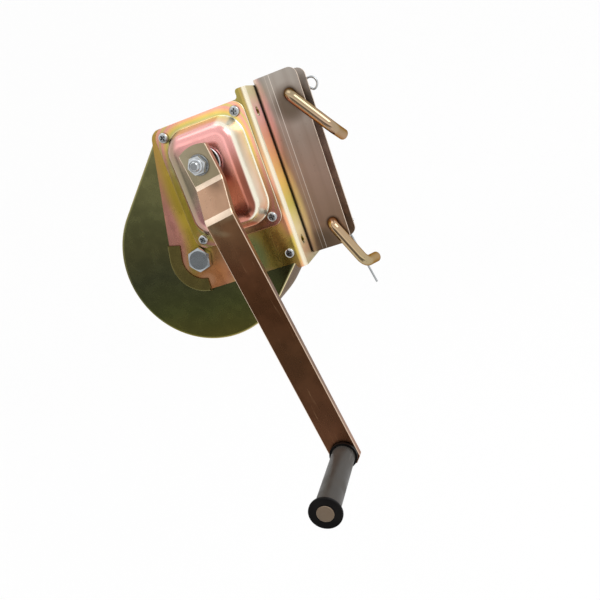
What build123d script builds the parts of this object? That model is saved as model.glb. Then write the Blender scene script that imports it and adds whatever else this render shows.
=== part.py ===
"""Hand-cranked wire rope puller that pins onto the square leg of a lifting tripod.

Frame of the part: the origin is the centre of the leg channel, on the axis of both lock pins.
+Z runs up the leg, +X points from the winch towards the leg, and -Y points at the crank handle.
All sizes are in millimetres.
"""
import os
from math import acos, atan2, cos, degrees, hypot, pi, radians, sin, sqrt, tan

from build123d import *

# ---------------------------------------------------------------- leg channel and lock pins
leg_size = 38.0             # square tripod leg that the channel takes
leg_clearance = 0.75        # free gap on each side of the leg, inside the channel
channel_sheet = 3.5
channel_height = 194.0
channel_bend = 8.0          # outer radius of the two channel bends
channel_lip_x = 14.0        # free edge of the flanges, seen from the pin axis
channel_corner = 9.0        # rounding of the four free corners
web_to_pin = 35.1           # outer face of the channel web to the pin axis
pin_inset = 25.5            # lock pins, in from the ends of the channel
pin_diameter = 12.0
pin_hole_clearance = 0.06   # radial
pin_end_chamfer = 1.2
pin_handle_length = 57.0    # from the pin axis to the hook
pin_bend_inner = 1.2        # inside radius of the bend beside the flange
pin_hook_bend = 5.0         # inside radius of the bend at the end of the handle
pin_hook_length = 28.0
upper_hook_drift = (4.5, -12.0)   # in X and Z, over the length of a hook
lower_hook_drift = (8.0, -3.0)
pin_end_reach = 17.0        # how far the pin stands out of the far flange
upper_handle_angle = -54.0  # direction of the handles from +X, in the plane of the flange
lower_handle_angle = -66.0
washer_gap = 0.3
pin_washer_outer = 24.0
pin_washer_sheet = 2.0
clip_wire = 2.6
clip_loop = 7.0             # mean radius of the loop of a spring clip
clip_loop_reach = 15.0      # pin axis to the middle of the loop
upper_clip_tail = 25.0      # pin axis to the tip of the straight leg
lower_clip_tail = 92.0
upper_clip_angle = -138.0   # direction of the straight leg from +X
lower_clip_angle = -79.0
clip_clearance = 0.35

# ---------------------------------------------------------------- frame
frame_width = 114.0         # over the two side plates
frame_sheet = 4.0
frame_bend = 7.5            # outer radius of the bends between base and sides
base_top = 92.5
base_bottom = -103.5
side_top = 83.0
ear_width = 11.5            # full-height strip of side plate beside the base
ear_fillet = 3.2
side_top_left = -150.4      # upper left corner of a side plate, before rounding
side_corner = 12.0
axle_corner = 36.0          # radius of the corner that is concentric with the drum axle
base_hole = 11.0            # mounting holes in the base
base_hole_pitch_y = 78.0
base_hole_pitch_z = 142.5
edge_round = 0.5            # broken edges of the sheared sheets

# ---------------------------------------------------------------- gear train and drum
gear_module = 2.5
pinion_teeth = 16
drum_teeth = 72
backlash = 0.35             # taken off each tooth at the pitch line
gear_face = 10.0
pinion_face = 13.0
axle_x = -149.4
axle_z = -60.8
pinion_bearing_angle = 59.7  # direction of the pinion from the drum axle
barrel_outer = 64.0
barrel_wall = 4.0
drum_gap = 1.5              # along the axle, between the guard and what turns inside it
drum_lightening = 28.0      # six holes in the web of the drum gear
far_flange_outer = 168.0
far_flange_sheet = 3.0
drum_hub_outer = 36.0
drum_bush_outer = 30.0
drum_bush_length = 16.0
spacer_outer = 26.0
bolt_diameter = 16.0
bolt_head_across = 24.0
bolt_head_height = 10.0
hexagon_face_share = 0.88   # round face of a hexagon head or nut, of the width across flats
axle_washer_outer = 30.0
axle_washer_sheet = 3.0
axle_nut_height = 14.0
axle_bolt_overhang = 3.0    # beyond the nut
axle_bolt_turn = 14.0       # of the hexagon, about its axis
bolt_hole_clearance = 0.3   # radial
running_clearance = 0.03    # radial, journal in bush
side_clearance = 0.3        # along an axis, between parts that turn past each other
rope_diameter = 5.0
rope_hole_clearance = 0.5   # radial
rope_hole_angle = 140.0
clamp_angles = (122.0, 146.0)   # directions of the two clamp screws from the drum axle
clamp_ring = 20.0           # clamp screws, out from the barrel
clamp_screw = 5.0
clamp_screw_head = 9.0
clamp_screw_head_height = 3.0
clamp_width = 11.0
clamp_sheet = 4.0
clamp_bite = 0.4            # how much shallower the groove is than half the rope

# ---------------------------------------------------------------- pinion shaft and brake
shaft_diameter = 20.0
shaft_overhang = 5.0        # beyond the far bush
pinion_gap = 0.6            # along the shaft, from the guard to the pinion
circlip_sheet = 1.5
circlip_width = 4.7
circlip_groove = 1.2        # depth
circlip_mouth = 7.0
bush_outer = 26.0
bush_flange = 32.0
bush_flange_sheet = 1.5
brake_flange_outer = 48.0
brake_flange_sheet = 4.0
friction_outer = 52.0
friction_sheet = 2.5
ratchet_teeth = 12
ratchet_tip = 30.0
ratchet_depth = 5.0
ratchet_sheet = 5.0
hub_sleeve = 24.0
hub_bore = 18.0
brake_clearance = 0.5       # radial, between the brake rings and the threaded neck
fit_clearance = 0.02        # radial, between a screwed or keyed pair
hub_disc_outer = 34.0
hub_disc_sheet = 3.0
hub_disc_round = 1.1
hub_disc_lift = 3.0         # above the outer face of the cover
hub_neck = 20.0
hub_flats = 14.0            # across the flats that drive the crank arm
hub_web = 2.0               # solid metal between the threaded neck and the hub's own neck
stud_diameter = 10.0
stud_reach = 17.0           # beyond the outer face of the crank arm
stud_chamfer = 1.4
pawl_reach = 46.0           # pawl pivot from the pinion axis
pawl_direction = -62.0
pawl_pin_diameter = 8.0
pawl_pin_reach = 5.5        # beyond the pawl, under the spring
pawl_pin_collar = 2.5       # radial
pawl_pin_head = 1.5
pawl_boss = 15.0
pawl_nose = 5.0
pawl_sheet = 4.6
tip_gap = 0.3
spring_wire = 1.2
spring_turns = 3
spring_clearance = 0.3      # radial

# ---------------------------------------------------------------- gear cover
cover_sheet = 1.5
cover_left = -148.0
cover_right = -43.0
cover_bottom = -51.5
cover_corner = 12.0
screw_inset = 10.2          # cover screws, in from the edges of the flange
dome_height = 26.0          # outer face of the dome above the side plate
dome_margin_x = 8.2         # flange left flat beside the dome
dome_margin_z = 8.2
dome_corner = 25.0
dome_draft = 8.0            # how far the dome wall leans in
dome_shoulder = 13.0
dome_foot = 2.2             # inside radius where the dome meets the flange
dome_hole = 28.0
screw_head = 11.0
screw_head_height = 4.0
screw_shank = 6.0
screw_hole_clearance = 0.3  # radial, in the cover
screw_overhang = 3.0        # beyond the side plate
screw_recess = 2.0
screw_recess_width = 1.5
screw_turn = 20.0           # of the first cross recess
screw_turn_step = 25.0
guard_screw_x = -49.1
guard_screw_z = -84.5

# ---------------------------------------------------------------- drum guard
guard_radius = 97.8
guard_sheet = 1.5
guard_side_angle = 45.0     # direction of the two straight sides
guard_rounding = 3.5
guard_top = 80.0
guard_right = -44.5
guard_seam_gap = 0.3
lip_outer = 38.4            # hooked lip round the axle corner of the side plate
lip_inner = 23.0
lip_rise = 16.0             # length of lip along the slanted edge
lip_end = 267.0             # direction, from the axle, in which the lip stops
lip_clearance = 0.4
lip_bend = 2.4              # outer radius of the fold along the lip
lip_relief = 4.0            # round hole that ends the fold

# ---------------------------------------------------------------- crank
arm_width = 32.0
arm_sheet = 8.0
arm_lean = 7.7              # from straight down towards the leg, degrees
arm_throw = 340.0           # crank shaft to handle
arm_face = 47.5             # outer face of the arm at the hub, above the side plate
arm_offset = 23.1           # further out at the handle end
jog_start = 20.0
jog_end = 54.0
jog_hollow = 9.0            # outside-face radius of the bend next to the hub
jog_nose = 11.5             # outside-face radius of the bend further down
arm_crown = 19.8            # top of the arm above the hub
arm_crown_drop = 4.0        # from the top down to the shoulders
arm_edge = 0.7
arm_tail = 15.0             # beyond the handle
arm_chamfer = 7.0
crank_washer_outer = 21.0
crank_washer_sheet = 2.0
crank_nut_across = 17.0
crank_nut_height = 11.0
nut_hexagon_share = 0.72    # of a lock nut's height; the rest is its round collar
nut_collar_share = 0.44     # radius of that collar, of the width across flats
nut_collar_round = 1.2
handle_length = 119.0
spindle_diameter = 12.0
spindle_head = 17.5
spindle_head_height = 2.5
spindle_head_round = 0.5
spindle_shoulder = 2.0      # height and radial width of the collar behind the arm
handle_washer_sheet = 1.5
handle_washer_width = 3.0   # radial, beyond the spindle head
grip_outer = 26.0
grip_wall = 2.0
collar_outer = 34.2
collar_sheet = 3.5
collar_plug = 14.0
collar_step = 1.5           # the inner collar is smaller by this radius
collar_sink = 0.6           # spindle head proud of the outer collar
collar_round = 1.0

# ---------------------------------------------------------------- channel bolts
channel_bolt = 8.0
channel_bolt_across = 13.0
channel_bolt_head = 5.3
channel_bolt_pitch_y = 17.0
channel_bolt_inset = 49.0   # in from the ends of the channel
channel_nut_height = 6.5
channel_bolt_overhang = 2.0

# ---------------------------------------------------------------- worked-out places
near_face = -frame_width / 2                # outer face of the near side plate
far_face = frame_width / 2
near_inner = near_face + frame_sheet
far_inner = far_face - frame_sheet
base_face = -web_to_pin
base_inner = base_face - frame_sheet
channel_half = leg_size / 2 + leg_clearance
channel_outer_half = channel_half + channel_sheet
base_middle = (base_top + base_bottom) / 2
pin_pitch = channel_height - 2 * pin_inset
channel_bolt_pitch_z = channel_height - 2 * channel_bolt_inset
centre_distance = gear_module * (pinion_teeth + drum_teeth) / 2
shaft_x = axle_x + centre_distance * cos(radians(pinion_bearing_angle))
shaft_z = axle_z + centre_distance * sin(radians(pinion_bearing_angle))
gear_near = near_inner + guard_sheet + drum_gap     # near face of the drum gear
gear_far = gear_near + gear_face
clamp_top = far_inner - guard_sheet - drum_gap - clamp_screw_head_height
flange_outside = clamp_top - clamp_sheet
drum_far = flange_outside - far_flange_sheet        # inside face of the far flange
over = 1.0                                          # how far a cutter runs past what it cuts
cover_top = side_top
cover_face = near_face - cover_sheet
dome_face = near_face - dome_height
arm_outer_face = near_face - arm_face
arm_back = arm_outer_face + arm_sheet
grip_face = arm_outer_face - arm_offset     # outer face of the arm at the handle
handle_x = shaft_x + arm_throw * sin(radians(arm_lean))
handle_z = shaft_z - arm_throw * cos(radians(arm_lean))
handle_end = grip_face - handle_length

os.makedirs("parts", exist_ok=True)


# ================================================================ helpers
def slab(sketch, y_a, y_b):
    """Extrude a sketch drawn in X and Z between two values of Y."""
    near, far = min(y_a, y_b), max(y_a, y_b)
    return extrude(Plane.XZ.offset(-far) * sketch, far - near)


def disc(x, z, radius, y_a, y_b):
    """A cylinder along Y."""
    return slab(Pos(x, z) * Circle(radius), y_a, y_b)


def tube(x, z, outer, inner, y_a, y_b):
    """A hollow cylinder along Y."""
    return slab(Pos(x, z) * (Circle(outer) - Circle(inner)), y_a, y_b)


def hexagon(x, z, across, y_a, y_b, turn=0.0):
    """A hexagonal prism along Y whose corners are turned off towards y_b, at 30 degrees."""
    radius = across / sqrt(3)
    prism = slab(Pos(x, z) * Rot(0, 0, turn) * RegularPolygon(radius, 6), y_a, y_b)
    bevel = radius - hexagon_face_share * across / 2
    blank = disc(x, z, radius, y_a, y_b)
    blank = chamfer(rim_at(blank, y_b), bevel * tan(radians(30)), bevel)
    return prism & blank


def rim_at(solid, y):
    """The circular edges of a solid in the plane at y."""
    return [edge for edge in solid.edges().filter_by(GeomType.CIRCLE) if abs(edge.center().Y - y) < 0.01]


def polar(x, z, radius, angle):
    """A point at an angle, in degrees from +X, round a centre in the X-Z plane."""
    return (x + radius * cos(radians(angle)), z + radius * sin(radians(angle)))


def save(shape, node):
    """Write one node."""
    export_step(shape, "parts/" + node + ".step")


def group(solids):
    """Several separate solids that share one node."""
    return Compound(children=[solid.solid() for solid in solids])


# ================================================================ frame
def edge_normal_angle():
    """Direction in which the slanted edge of a side plate faces; it is tangent to the axle corner."""
    reach = hypot(side_top_left - axle_x, side_top - axle_z)
    bearing = atan2(side_top - axle_z, side_top_left - axle_x)
    return degrees(bearing + acos(axle_corner / reach))


def side_outline():
    """Outline of both side plates and, at the right, the full height of the base."""
    ear_x = base_face - ear_width
    normal = edge_normal_angle()
    foot_x, foot_z = polar(axle_x, axle_z, axle_corner, normal)
    bottom = axle_z - axle_corner
    corner_x = foot_x - (bottom - foot_z) * tan(radians(normal))
    outline = make_face(Polyline(
        (base_face, base_top), (ear_x, base_top), (ear_x, side_top),
        (side_top_left, side_top), (corner_x, bottom),
        (ear_x, bottom), (ear_x, base_bottom), (base_face, base_bottom), close=True))
    corners = [(corner_x, bottom, axle_corner), (side_top_left, side_top, side_corner)]
    corners += [(ear_x, z, ear_fillet) for z in (side_top, bottom, base_top, base_bottom)]
    for x, z, radius in corners:
        outline = fillet(outline.vertices().sort_by_distance((x, z, 0))[0], radius)
    return outline


def bent_section(length):
    """Section of the frame across its height: two sides and the base, bent from one sheet."""
    outer = Pos(base_face - length / 2, 0) * Rectangle(length, frame_width)
    outer = fillet(outer.vertices().group_by(Axis.X)[-1], frame_bend)
    inner = Pos(base_inner - length / 2, 0) * Rectangle(length, frame_width - 2 * frame_sheet)
    inner = fillet(inner.vertices().group_by(Axis.X)[-1], frame_bend - frame_sheet)
    return outer - inner


def base_hole_places():
    """Centres, in Y and Z, of the four mounting holes in the base."""
    return [(side * base_hole_pitch_y / 2, base_middle + level * base_hole_pitch_z / 2)
            for side in (-1, 1) for level in (-1, 1)]


def channel_bolt_places():
    """Centres, in Y and Z, of the four bolts between channel and base."""
    return [(side * channel_bolt_pitch_y / 2, level * channel_bolt_pitch_z / 2)
            for side in (-1, 1) for level in (-1, 1)]


def across_base(y, z, diameter):
    """A cutter along X through the base and the channel web."""
    return Pos(base_face, y, z) * Rot(0, 90, 0) * Cylinder(diameter / 2, 4 * frame_sheet + 2 * channel_sheet)


def screw_places():
    """Centres, in X and Z, of the four cover screws."""
    return [(x, z) for x in (cover_left + screw_inset, cover_right - screw_inset)
            for z in (cover_top - screw_inset, cover_bottom + screw_inset)]


def build_frame():
    """Base and both side plates, bent from one sheet."""
    length = base_face - axle_x + 2 * axle_corner
    sheet = Pos(0, 0, base_bottom) * extrude(bent_section(length), base_top - base_bottom)
    frame = sheet & slab(side_outline(), near_face, far_face)
    for y, z in base_hole_places():
        frame -= across_base(y, z, base_hole)
    for y, z in channel_bolt_places():
        frame -= across_base(y, z, channel_bolt + 2 * bolt_hole_clearance)
    bolt_hole = bolt_diameter / 2 + bolt_hole_clearance
    frame -= disc(axle_x, axle_z, bolt_hole, near_face - over, far_face + over)
    frame -= disc(shaft_x, shaft_z, bush_outer / 2, near_face - over, far_face + over)
    frame -= disc(guard_screw_x, guard_screw_z, screw_shank / 2, near_face - over, far_face + over)
    for x, z in screw_places():
        frame -= disc(x, z, screw_shank / 2, near_face - over, near_inner + over)
    pivot_x, pivot_z = pawl_pivot()
    frame -= disc(pivot_x, pivot_z, pawl_pin_diameter / 2, near_face - over, near_inner + over)
    return frame


def build_channel():
    """U channel that wraps the leg, with rounded free corners and two pin holes in each flange."""
    reach = channel_lip_x - base_face
    outer = Pos(base_face + reach / 2, 0) * Rectangle(reach, 2 * channel_outer_half)
    outer = fillet(outer.vertices().group_by(Axis.X)[0], channel_bend)
    inner = Pos(base_face + channel_sheet + reach / 2, 0) * Rectangle(reach, 2 * channel_half)
    inner = fillet(inner.vertices().group_by(Axis.X)[0], channel_bend - channel_sheet)
    channel = Pos(0, 0, -channel_height / 2) * extrude(outer - inner, channel_height)
    face = Pos(base_face + reach / 2, 0) * Rectangle(reach, channel_height)
    face = fillet(face.vertices().group_by(Axis.X)[-1], channel_corner)
    channel &= slab(face, -channel_outer_half, channel_outer_half)
    for level in (-1, 1):
        channel -= disc(0, level * pin_pitch / 2, pin_diameter / 2 + pin_hole_clearance,
                        -channel_outer_half - over, channel_outer_half + over)
    for y, z in channel_bolt_places():
        channel -= across_base(y, z, channel_bolt + 2 * bolt_hole_clearance)
    return channel


def channel_fastener(y, z, head):
    """One bolt, head inside the channel, or its nut behind the base."""
    inside = base_face + channel_sheet
    if head:
        length = channel_sheet + frame_sheet + channel_nut_height + channel_bolt_overhang
        solid = Pos(inside - length / 2, y, z) * Rot(0, 90, 0) * Cylinder(channel_bolt / 2, length)
        return solid + Pos(inside, y, z) * Rot(0, 90, 0) * extrude(
            RegularPolygon(channel_bolt_across / sqrt(3), 6), channel_bolt_head)
    ring = RegularPolygon(channel_bolt_across / sqrt(3), 6) - Circle(channel_bolt / 2)
    return Pos(base_inner - channel_nut_height, y, z) * Rot(0, 90, 0) * extrude(ring, channel_nut_height)


# ================================================================ lock pins
def build_lock_pin(z, handle_angle, hook_drift, clip_angle):
    """A shank across the channel, a handle down the near flange and a hook back past the leg."""
    radius = pin_diameter / 2
    bend = pin_bend_inner + radius
    hook_bend = pin_hook_bend + radius
    handle_y = -channel_outer_half - washer_gap - bend
    elbow_x, elbow_z = polar(0, z, pin_handle_length, handle_angle)
    end_y = channel_outer_half + pin_end_reach
    path = FilletPolyline(
        (0, end_y, z), (0, handle_y, z), (elbow_x, handle_y, elbow_z),
        (elbow_x + hook_drift[0], handle_y + pin_hook_length, elbow_z + hook_drift[1]),
        radius=[bend, hook_bend])
    pin = sweep(Plane(origin=path @ 0, z_dir=path % 0) * Circle(radius), path)
    flat_ends = [face.edges() for face in pin.faces() if face.geom_type == GeomType.PLANE]
    for rim in flat_ends:
        pin = chamfer(rim, pin_end_chamfer)
    drill = Pos(0, clip_y(), z) * Rot(0, -clip_angle, 0) * Rot(0, 90, 0) * Cylinder(
        clip_wire / 2 + clip_clearance, 2 * pin_diameter)
    return pin - drill


def clip_y():
    """Distance of the spring clips from the middle of the channel."""
    return (channel_outer_half + washer_gap + pin_washer_sheet + washer_gap
            + clip_wire / 2 + 0.3)


def build_clip(z, clip_angle, tail):
    """A spring clip bent from wire: one straight leg through the pin, a loop, and a leg over the pin."""
    y = clip_y()
    over = pin_diameter / 2 + clip_wire / 2 + clip_clearance
    head = -clip_loop_reach - clip_loop
    loop_top = 2 * clip_loop + 0.1
    grip_end = 1.8 * over

    def place(along, aside):
        """Along the straight leg and square to it, in the plane of the far flange."""
        turn = radians(clip_angle)
        return (along * cos(turn) - aside * sin(turn), y, z + along * sin(turn) + aside * cos(turn))

    corners = [place(tail, 0), place(head, 0), place(head, loop_top), place(head + 1.55 * clip_loop, loop_top),
               place(-over - clip_wire, 0.4 * clip_wire), place(-0.45 * over, over + 0.3),
               place(0.6 * grip_end, over + 0.6), place(grip_end, over + 4.0)]
    bends = [clip_loop, clip_loop, clip_loop / 2, clip_wire, clip_loop / 2, clip_loop / 2]
    path = FilletPolyline(*corners, radius=bends)
    return sweep(Plane(origin=path @ 0, z_dir=path % 0) * Circle(clip_wire / 2), path)


# ================================================================ gears
def involute_point(base_radius, radius):
    """Polar angle, in radians, of an involute where it crosses a radius."""
    pressure = acos(min(1.0, base_radius / radius))
    return tan(pressure) - pressure


def gear_outline(teeth, phase):
    """Spur gear outline: straight chords between points of each involute flank."""
    pitch = gear_module * teeth / 2
    base = pitch * cos(radians(20))
    tip = pitch + gear_module
    root = pitch - 1.25 * gear_module
    start = max(root, base)
    half_pitch = (pi * gear_module / 2 - backlash) / (2 * pitch)
    flank = [(radius, half_pitch + involute_point(base, pitch) - involute_point(base, radius))
             for radius in (start, (start + tip) / 2, tip)]
    points = []
    for tooth in range(teeth):
        middle = radians(phase) + 2 * pi * tooth / teeth
        points.append((root, middle - flank[0][1] * 1.12))
        points.extend((radius, middle - angle) for radius, angle in flank)
        points.extend((radius, middle + angle) for radius, angle in reversed(flank))
        points.append((root, middle + flank[0][1] * 1.12))
    return make_face(Polyline(*[(radius * cos(angle), radius * sin(angle)) for radius, angle in points],
                              close=True))


def pinion_phase():
    """Turn of the pinion that puts a tooth on the line of centres."""
    return pinion_bearing_angle + 180.0


def drum_phase():
    """Turn of the drum gear that puts a gap on the line of centres."""
    return pinion_bearing_angle + 180.0 / drum_teeth


def build_drum_gear():
    """Big gear of the drum, with a bored hub and lightening holes."""
    web = gear_outline(drum_teeth, drum_phase()) - Circle(drum_hub_outer / 2)
    hole_ring = (barrel_outer / 2 + gear_module * drum_teeth / 2) / 2
    holes = PolarLocations(hole_ring, 6) * Circle(drum_lightening / 2)
    return slab(Pos(axle_x, axle_z) * (web - holes), gear_near, gear_far)


def build_far_flange():
    """Far flange of the drum, with the hole that takes the rope end and those of the clamp."""
    flange = tube(axle_x, axle_z, far_flange_outer / 2, drum_hub_outer / 2, drum_far, flange_outside)
    rope_ring = barrel_outer / 2 + rope_diameter / 2 + 2 * rope_hole_clearance
    x, z = polar(axle_x, axle_z, rope_ring, rope_hole_angle)
    flange -= disc(x, z, rope_diameter / 2 + rope_hole_clearance, drum_far - over, flange_outside + over)
    for x, z in clamp_screw_places():
        flange -= disc(x, z, clamp_screw / 2, drum_far - over, flange_outside + over)
    return flange


def clamp_screw_places():
    """Centres of the two screws of the rope clamp on the far flange."""
    return [polar(axle_x, axle_z, barrel_outer / 2 + clamp_ring, angle) for angle in clamp_angles]


def build_rope_clamp():
    """Small bridge plate that nips the rope end on the outside of the far flange."""
    (x_a, z_a), (x_b, z_b) = clamp_screw_places()
    turn = degrees(atan2(z_b - z_a, x_b - x_a))
    length = hypot(x_b - x_a, z_b - z_a) + clamp_width
    place = Pos((x_a + x_b) / 2, (z_a + z_b) / 2) * Rot(0, 0, turn)
    clamp = slab(place * RectangleRounded(length, clamp_width, clamp_width / 2 - clamp_bite),
                 flange_outside, clamp_top)
    clamp -= Pos((x_a + x_b) / 2, flange_outside, (z_a + z_b) / 2) * Rot(0, -turn, 0) * Cylinder(
        rope_diameter / 2 - clamp_bite, 2 * clamp_width)
    for x, z in clamp_screw_places():
        clamp -= disc(x, z, clamp_screw / 2, flange_outside - over, clamp_top + over)
    return clamp


def build_clamp_screw(x, z):
    """One screw of the rope clamp."""
    head = disc(x, z, clamp_screw_head / 2, clamp_top, clamp_top + clamp_screw_head_height)
    head = fillet(rim_at(head, clamp_top + clamp_screw_head_height), clamp_screw_head_height / 3)
    return head + disc(x, z, clamp_screw / 2, drum_far, clamp_top)


# ================================================================ brake and pawl
def pawl_pivot():
    """Centre of the pawl pin."""
    return polar(shaft_x, shaft_z, pawl_reach, pawl_direction)


def nose_angle():
    """Direction, seen from the pinion axis, of the pawl nose."""
    return pawl_direction + degrees(acos((ratchet_tip + tip_gap) / pawl_reach))


def build_ratchet(y_a, y_b):
    """Saw-toothed wheel between the friction discs; its radial faces stop the pawl nose."""
    phase = nose_angle() + degrees(2 * tip_gap / ratchet_tip)
    points = []
    for tooth in range(ratchet_teeth):
        angle = phase + 360.0 * tooth / ratchet_teeth
        points.append(polar(0, 0, ratchet_tip - ratchet_depth, angle))
        points.append(polar(0, 0, ratchet_tip, angle))
    wheel = make_face(Polyline(*points, close=True)) - Circle(hub_bore / 2 + brake_clearance)
    return slab(Pos(shaft_x, shaft_z) * wheel, y_a, y_b)


def build_pawl(y_a, y_b):
    """A boss on the pawl pin and a tapered arm whose nose rides on the ratchet."""
    pivot_x, pivot_z = pawl_pivot()
    nose = polar(shaft_x, shaft_z, ratchet_tip + tip_gap, nose_angle())
    heading = degrees(atan2(nose[1] - pivot_z, nose[0] - pivot_x))
    shoulder = polar(pivot_x, pivot_z, pawl_boss / 2, heading - 90)
    back = polar(nose[0], nose[1], pawl_nose, heading - 90)
    arm = make_face(Polyline(shoulder, back, nose, (pivot_x, pivot_z), close=True))
    boss = Pos(pivot_x, pivot_z) * Circle(pawl_boss / 2)
    pawl = boss + arm - Pos(pivot_x, pivot_z) * Circle(pawl_pin_diameter / 2 + running_clearance)
    return slab(pawl, y_a, y_b)


def build_pawl_spring(y):
    """Torsion spring on the pawl pin, with one leg along the pawl."""
    pivot_x, pivot_z = pawl_pivot()
    radius = pawl_pin_diameter / 2 + spring_wire / 2 + spring_clearance
    pitch = spring_wire * 1.1
    coil = Helix(pitch=pitch, height=pitch * spring_turns, radius=radius)
    wire = sweep(Plane(origin=coil @ 0, z_dir=coil % 0) * Circle(spring_wire / 2), coil)
    return Pos(pivot_x, y, pivot_z) * Rot(90, 0, 0) * wire


# ================================================================ cover and guard
def flange_sketch():
    """Outline of the cover flange."""
    width, height = cover_right - cover_left, cover_top - cover_bottom
    centre = Pos((cover_left + cover_right) / 2, (cover_top + cover_bottom) / 2)
    return centre * RectangleRounded(width, height, cover_corner)


def dome_solid(shrink, height):
    """Drawn box of the cover: a rounded rectangle that leans in towards its face."""
    width = cover_right - cover_left - 2 * dome_margin_x - 2 * shrink
    depth = cover_top - cover_bottom - 2 * dome_margin_z - 2 * shrink
    centre = Pos((cover_left + cover_right) / 2, (cover_top + cover_bottom) / 2)
    lean = degrees(atan2(dome_draft, dome_height))
    sketch = Plane.XZ.offset(-near_face) * centre * RectangleRounded(width, depth, dome_corner - shrink)
    dome = extrude(sketch, height, taper=lean)
    rim = dome.faces().sort_by(Axis.Y)[0].edges()
    return fillet(rim, dome_shoulder - shrink)


def build_cover():
    """Stamped cover: flat flange, drawn dome and the round hole for the brake hub."""
    cover = slab(flange_sketch(), near_face, cover_face) + dome_solid(0, dome_height)
    rims = [edge for edge in cover.edges() if abs(edge.center().Y - cover_face) < 0.01]
    foot = [edge for edge in rims if in_dome_outline(edge.center())]
    cover = fillet(foot, dome_foot)
    outer = [edge for edge in cover.edges() if abs(edge.center().Y - cover_face) < 0.01
             and not in_dome_outline(edge.center())]
    cover = fillet(outer, edge_round)
    cover -= dome_solid(cover_sheet, dome_height - cover_sheet)
    cover -= disc(shaft_x, shaft_z, dome_hole / 2, dome_face - over, near_face)
    for x, z in screw_places():
        cover -= disc(x, z, screw_shank / 2 + screw_hole_clearance, cover_face - over, near_face + over)
    return cover


def in_dome_outline(point):
    """Whether a point on the flange lies nearer to the dome than to the outer edge."""
    half_x = (cover_right - cover_left - dome_margin_x) / 2
    half_z = (cover_top - cover_bottom - dome_margin_z) / 2
    return (abs(point.X - (cover_left + cover_right) / 2) < half_x
            and abs(point.Z - (cover_top + cover_bottom) / 2) < half_z)


def build_screw(x, z, head_face, tip, turn):
    """Pan-head screw with a cross recess."""
    head = disc(x, z, screw_head / 2, head_face, head_face - screw_head_height)
    head = fillet(head.edges().sort_by(Axis.Y)[0], screw_head_height * 0.6)
    recess_face = head_face - screw_head_height
    cross = screw_head * 0.55
    arms = Rectangle(cross, screw_recess_width) + Rectangle(screw_recess_width, cross)
    head -= slab(Pos(x, z) * Rot(0, 0, turn) * arms, recess_face, recess_face + screw_recess)
    return head + disc(x, z, screw_shank / 2 - fit_clearance, head_face, tip)


def guard_face(shrink, overrun):
    """Teardrop outline of the guard; overrun carries the open top and right sides outwards."""
    radius = guard_radius - shrink
    slope = radians(guard_side_angle)
    left = polar(axle_x, axle_z, radius, guard_side_angle + 90)
    right = polar(axle_x, axle_z, radius, guard_side_angle - 90)
    bottom = polar(axle_x, axle_z, radius, guard_side_angle + 180)
    top = guard_top + overrun
    edge = guard_right + overrun
    left_run = (top - left[1]) / tan(slope)
    right_rise = (edge - right[0]) * tan(slope)
    outline = [ThreePointArc(left, bottom, right),
               Line(right, (edge, right[1] + right_rise)),
               Line((edge, right[1] + right_rise), (edge, top)),
               Line((edge, top), (left[0] + left_run, top)),
               Line((left[0] + left_run, top), left)]
    return make_face(Wire(outline))


def lip_band(inner, outer):
    """Band that follows the slanted edge and turns the axle corner to the bottom edge."""
    normal = edge_normal_angle()
    rise_x = lip_rise * cos(radians(normal - 90))
    rise_z = lip_rise * sin(radians(normal - 90))

    def rail(radius):
        start = polar(axle_x, axle_z, radius, normal)
        middle = polar(axle_x, axle_z, radius, (normal + lip_end) / 2)
        end = polar(axle_x, axle_z, radius, lip_end)
        return (start[0] + rise_x, start[1] + rise_z), start, middle, end

    outer_head, outer_start, outer_middle, outer_end = rail(outer)
    inner_head, inner_start, inner_middle, inner_end = rail(inner)
    return make_face(Wire([
        Line(outer_head, outer_start), ThreePointArc(outer_start, outer_middle, outer_end),
        Line(outer_end, inner_end), ThreePointArc(inner_end, inner_middle, inner_start),
        Line(inner_start, inner_head), Line(inner_head, outer_head)]))


def build_guard(side):
    """One half of the drum guard: a side wall, half of the rim and the hooked lip.

    side is -1 for the crank side and 1 for the far side.
    """
    wall_out = side * (frame_width / 2 - frame_sheet)
    wall_in = wall_out - side * guard_sheet
    middle = side * guard_seam_gap / 2
    shell = slab(guard_face(0, 0), wall_out, middle)
    outer_rim = [edge for edge in shell.edges() if abs(edge.center().Y - wall_out) < 0.01
                 and (edge.geom_type == GeomType.CIRCLE or abs(abs((edge % 0.5).X) - cos(
                     radians(guard_side_angle))) < 0.01)]
    shell = fillet(outer_rim, guard_rounding)
    shell -= slab(guard_face(guard_sheet, 2 * frame_bend), wall_in, middle - side * over)
    shell += build_lip(side, wall_in)
    holes = [(axle_x, axle_z, drum_hub_outer / 2 + drum_gap),
             (shaft_x, shaft_z, bush_outer / 2 + bolt_hole_clearance),
             (guard_screw_x, guard_screw_z, screw_shank / 2)]
    if side < 0:
        holes += [(x, z, screw_shank / 2) for x, z in screw_places()]
        holes.append((*pawl_pivot(), pawl_pin_diameter / 2 + bolt_hole_clearance))
    for x, z, radius in holes:
        shell -= disc(x, z, radius, wall_out + side * over, wall_in - side * over)
    return shell


def build_lip(side, root):
    """Hooked lip of a guard half: it rises past the axle corner of the side plate and folds over it."""
    fold_in = side * (frame_width / 2 + lip_clearance)
    fold_out = fold_in + side * guard_sheet
    lip = slab(lip_band(lip_inner, lip_outer), fold_out, fold_in)
    lip += slab(lip_band(axle_corner + lip_clearance, lip_outer), fold_in, root)
    fold = [edge for edge in lip.edges() if abs(edge.center().Y - fold_out) < 0.01
            and on_lip_rim(edge, lip_outer)]
    lip = fillet(fold, lip_bend)
    relief_x, relief_z = polar(axle_x, axle_z, lip_outer - guard_sheet, lip_end)
    return lip - disc(relief_x, relief_z, lip_relief / 2, fold_out + side * over, fold_in - side * over)


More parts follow.
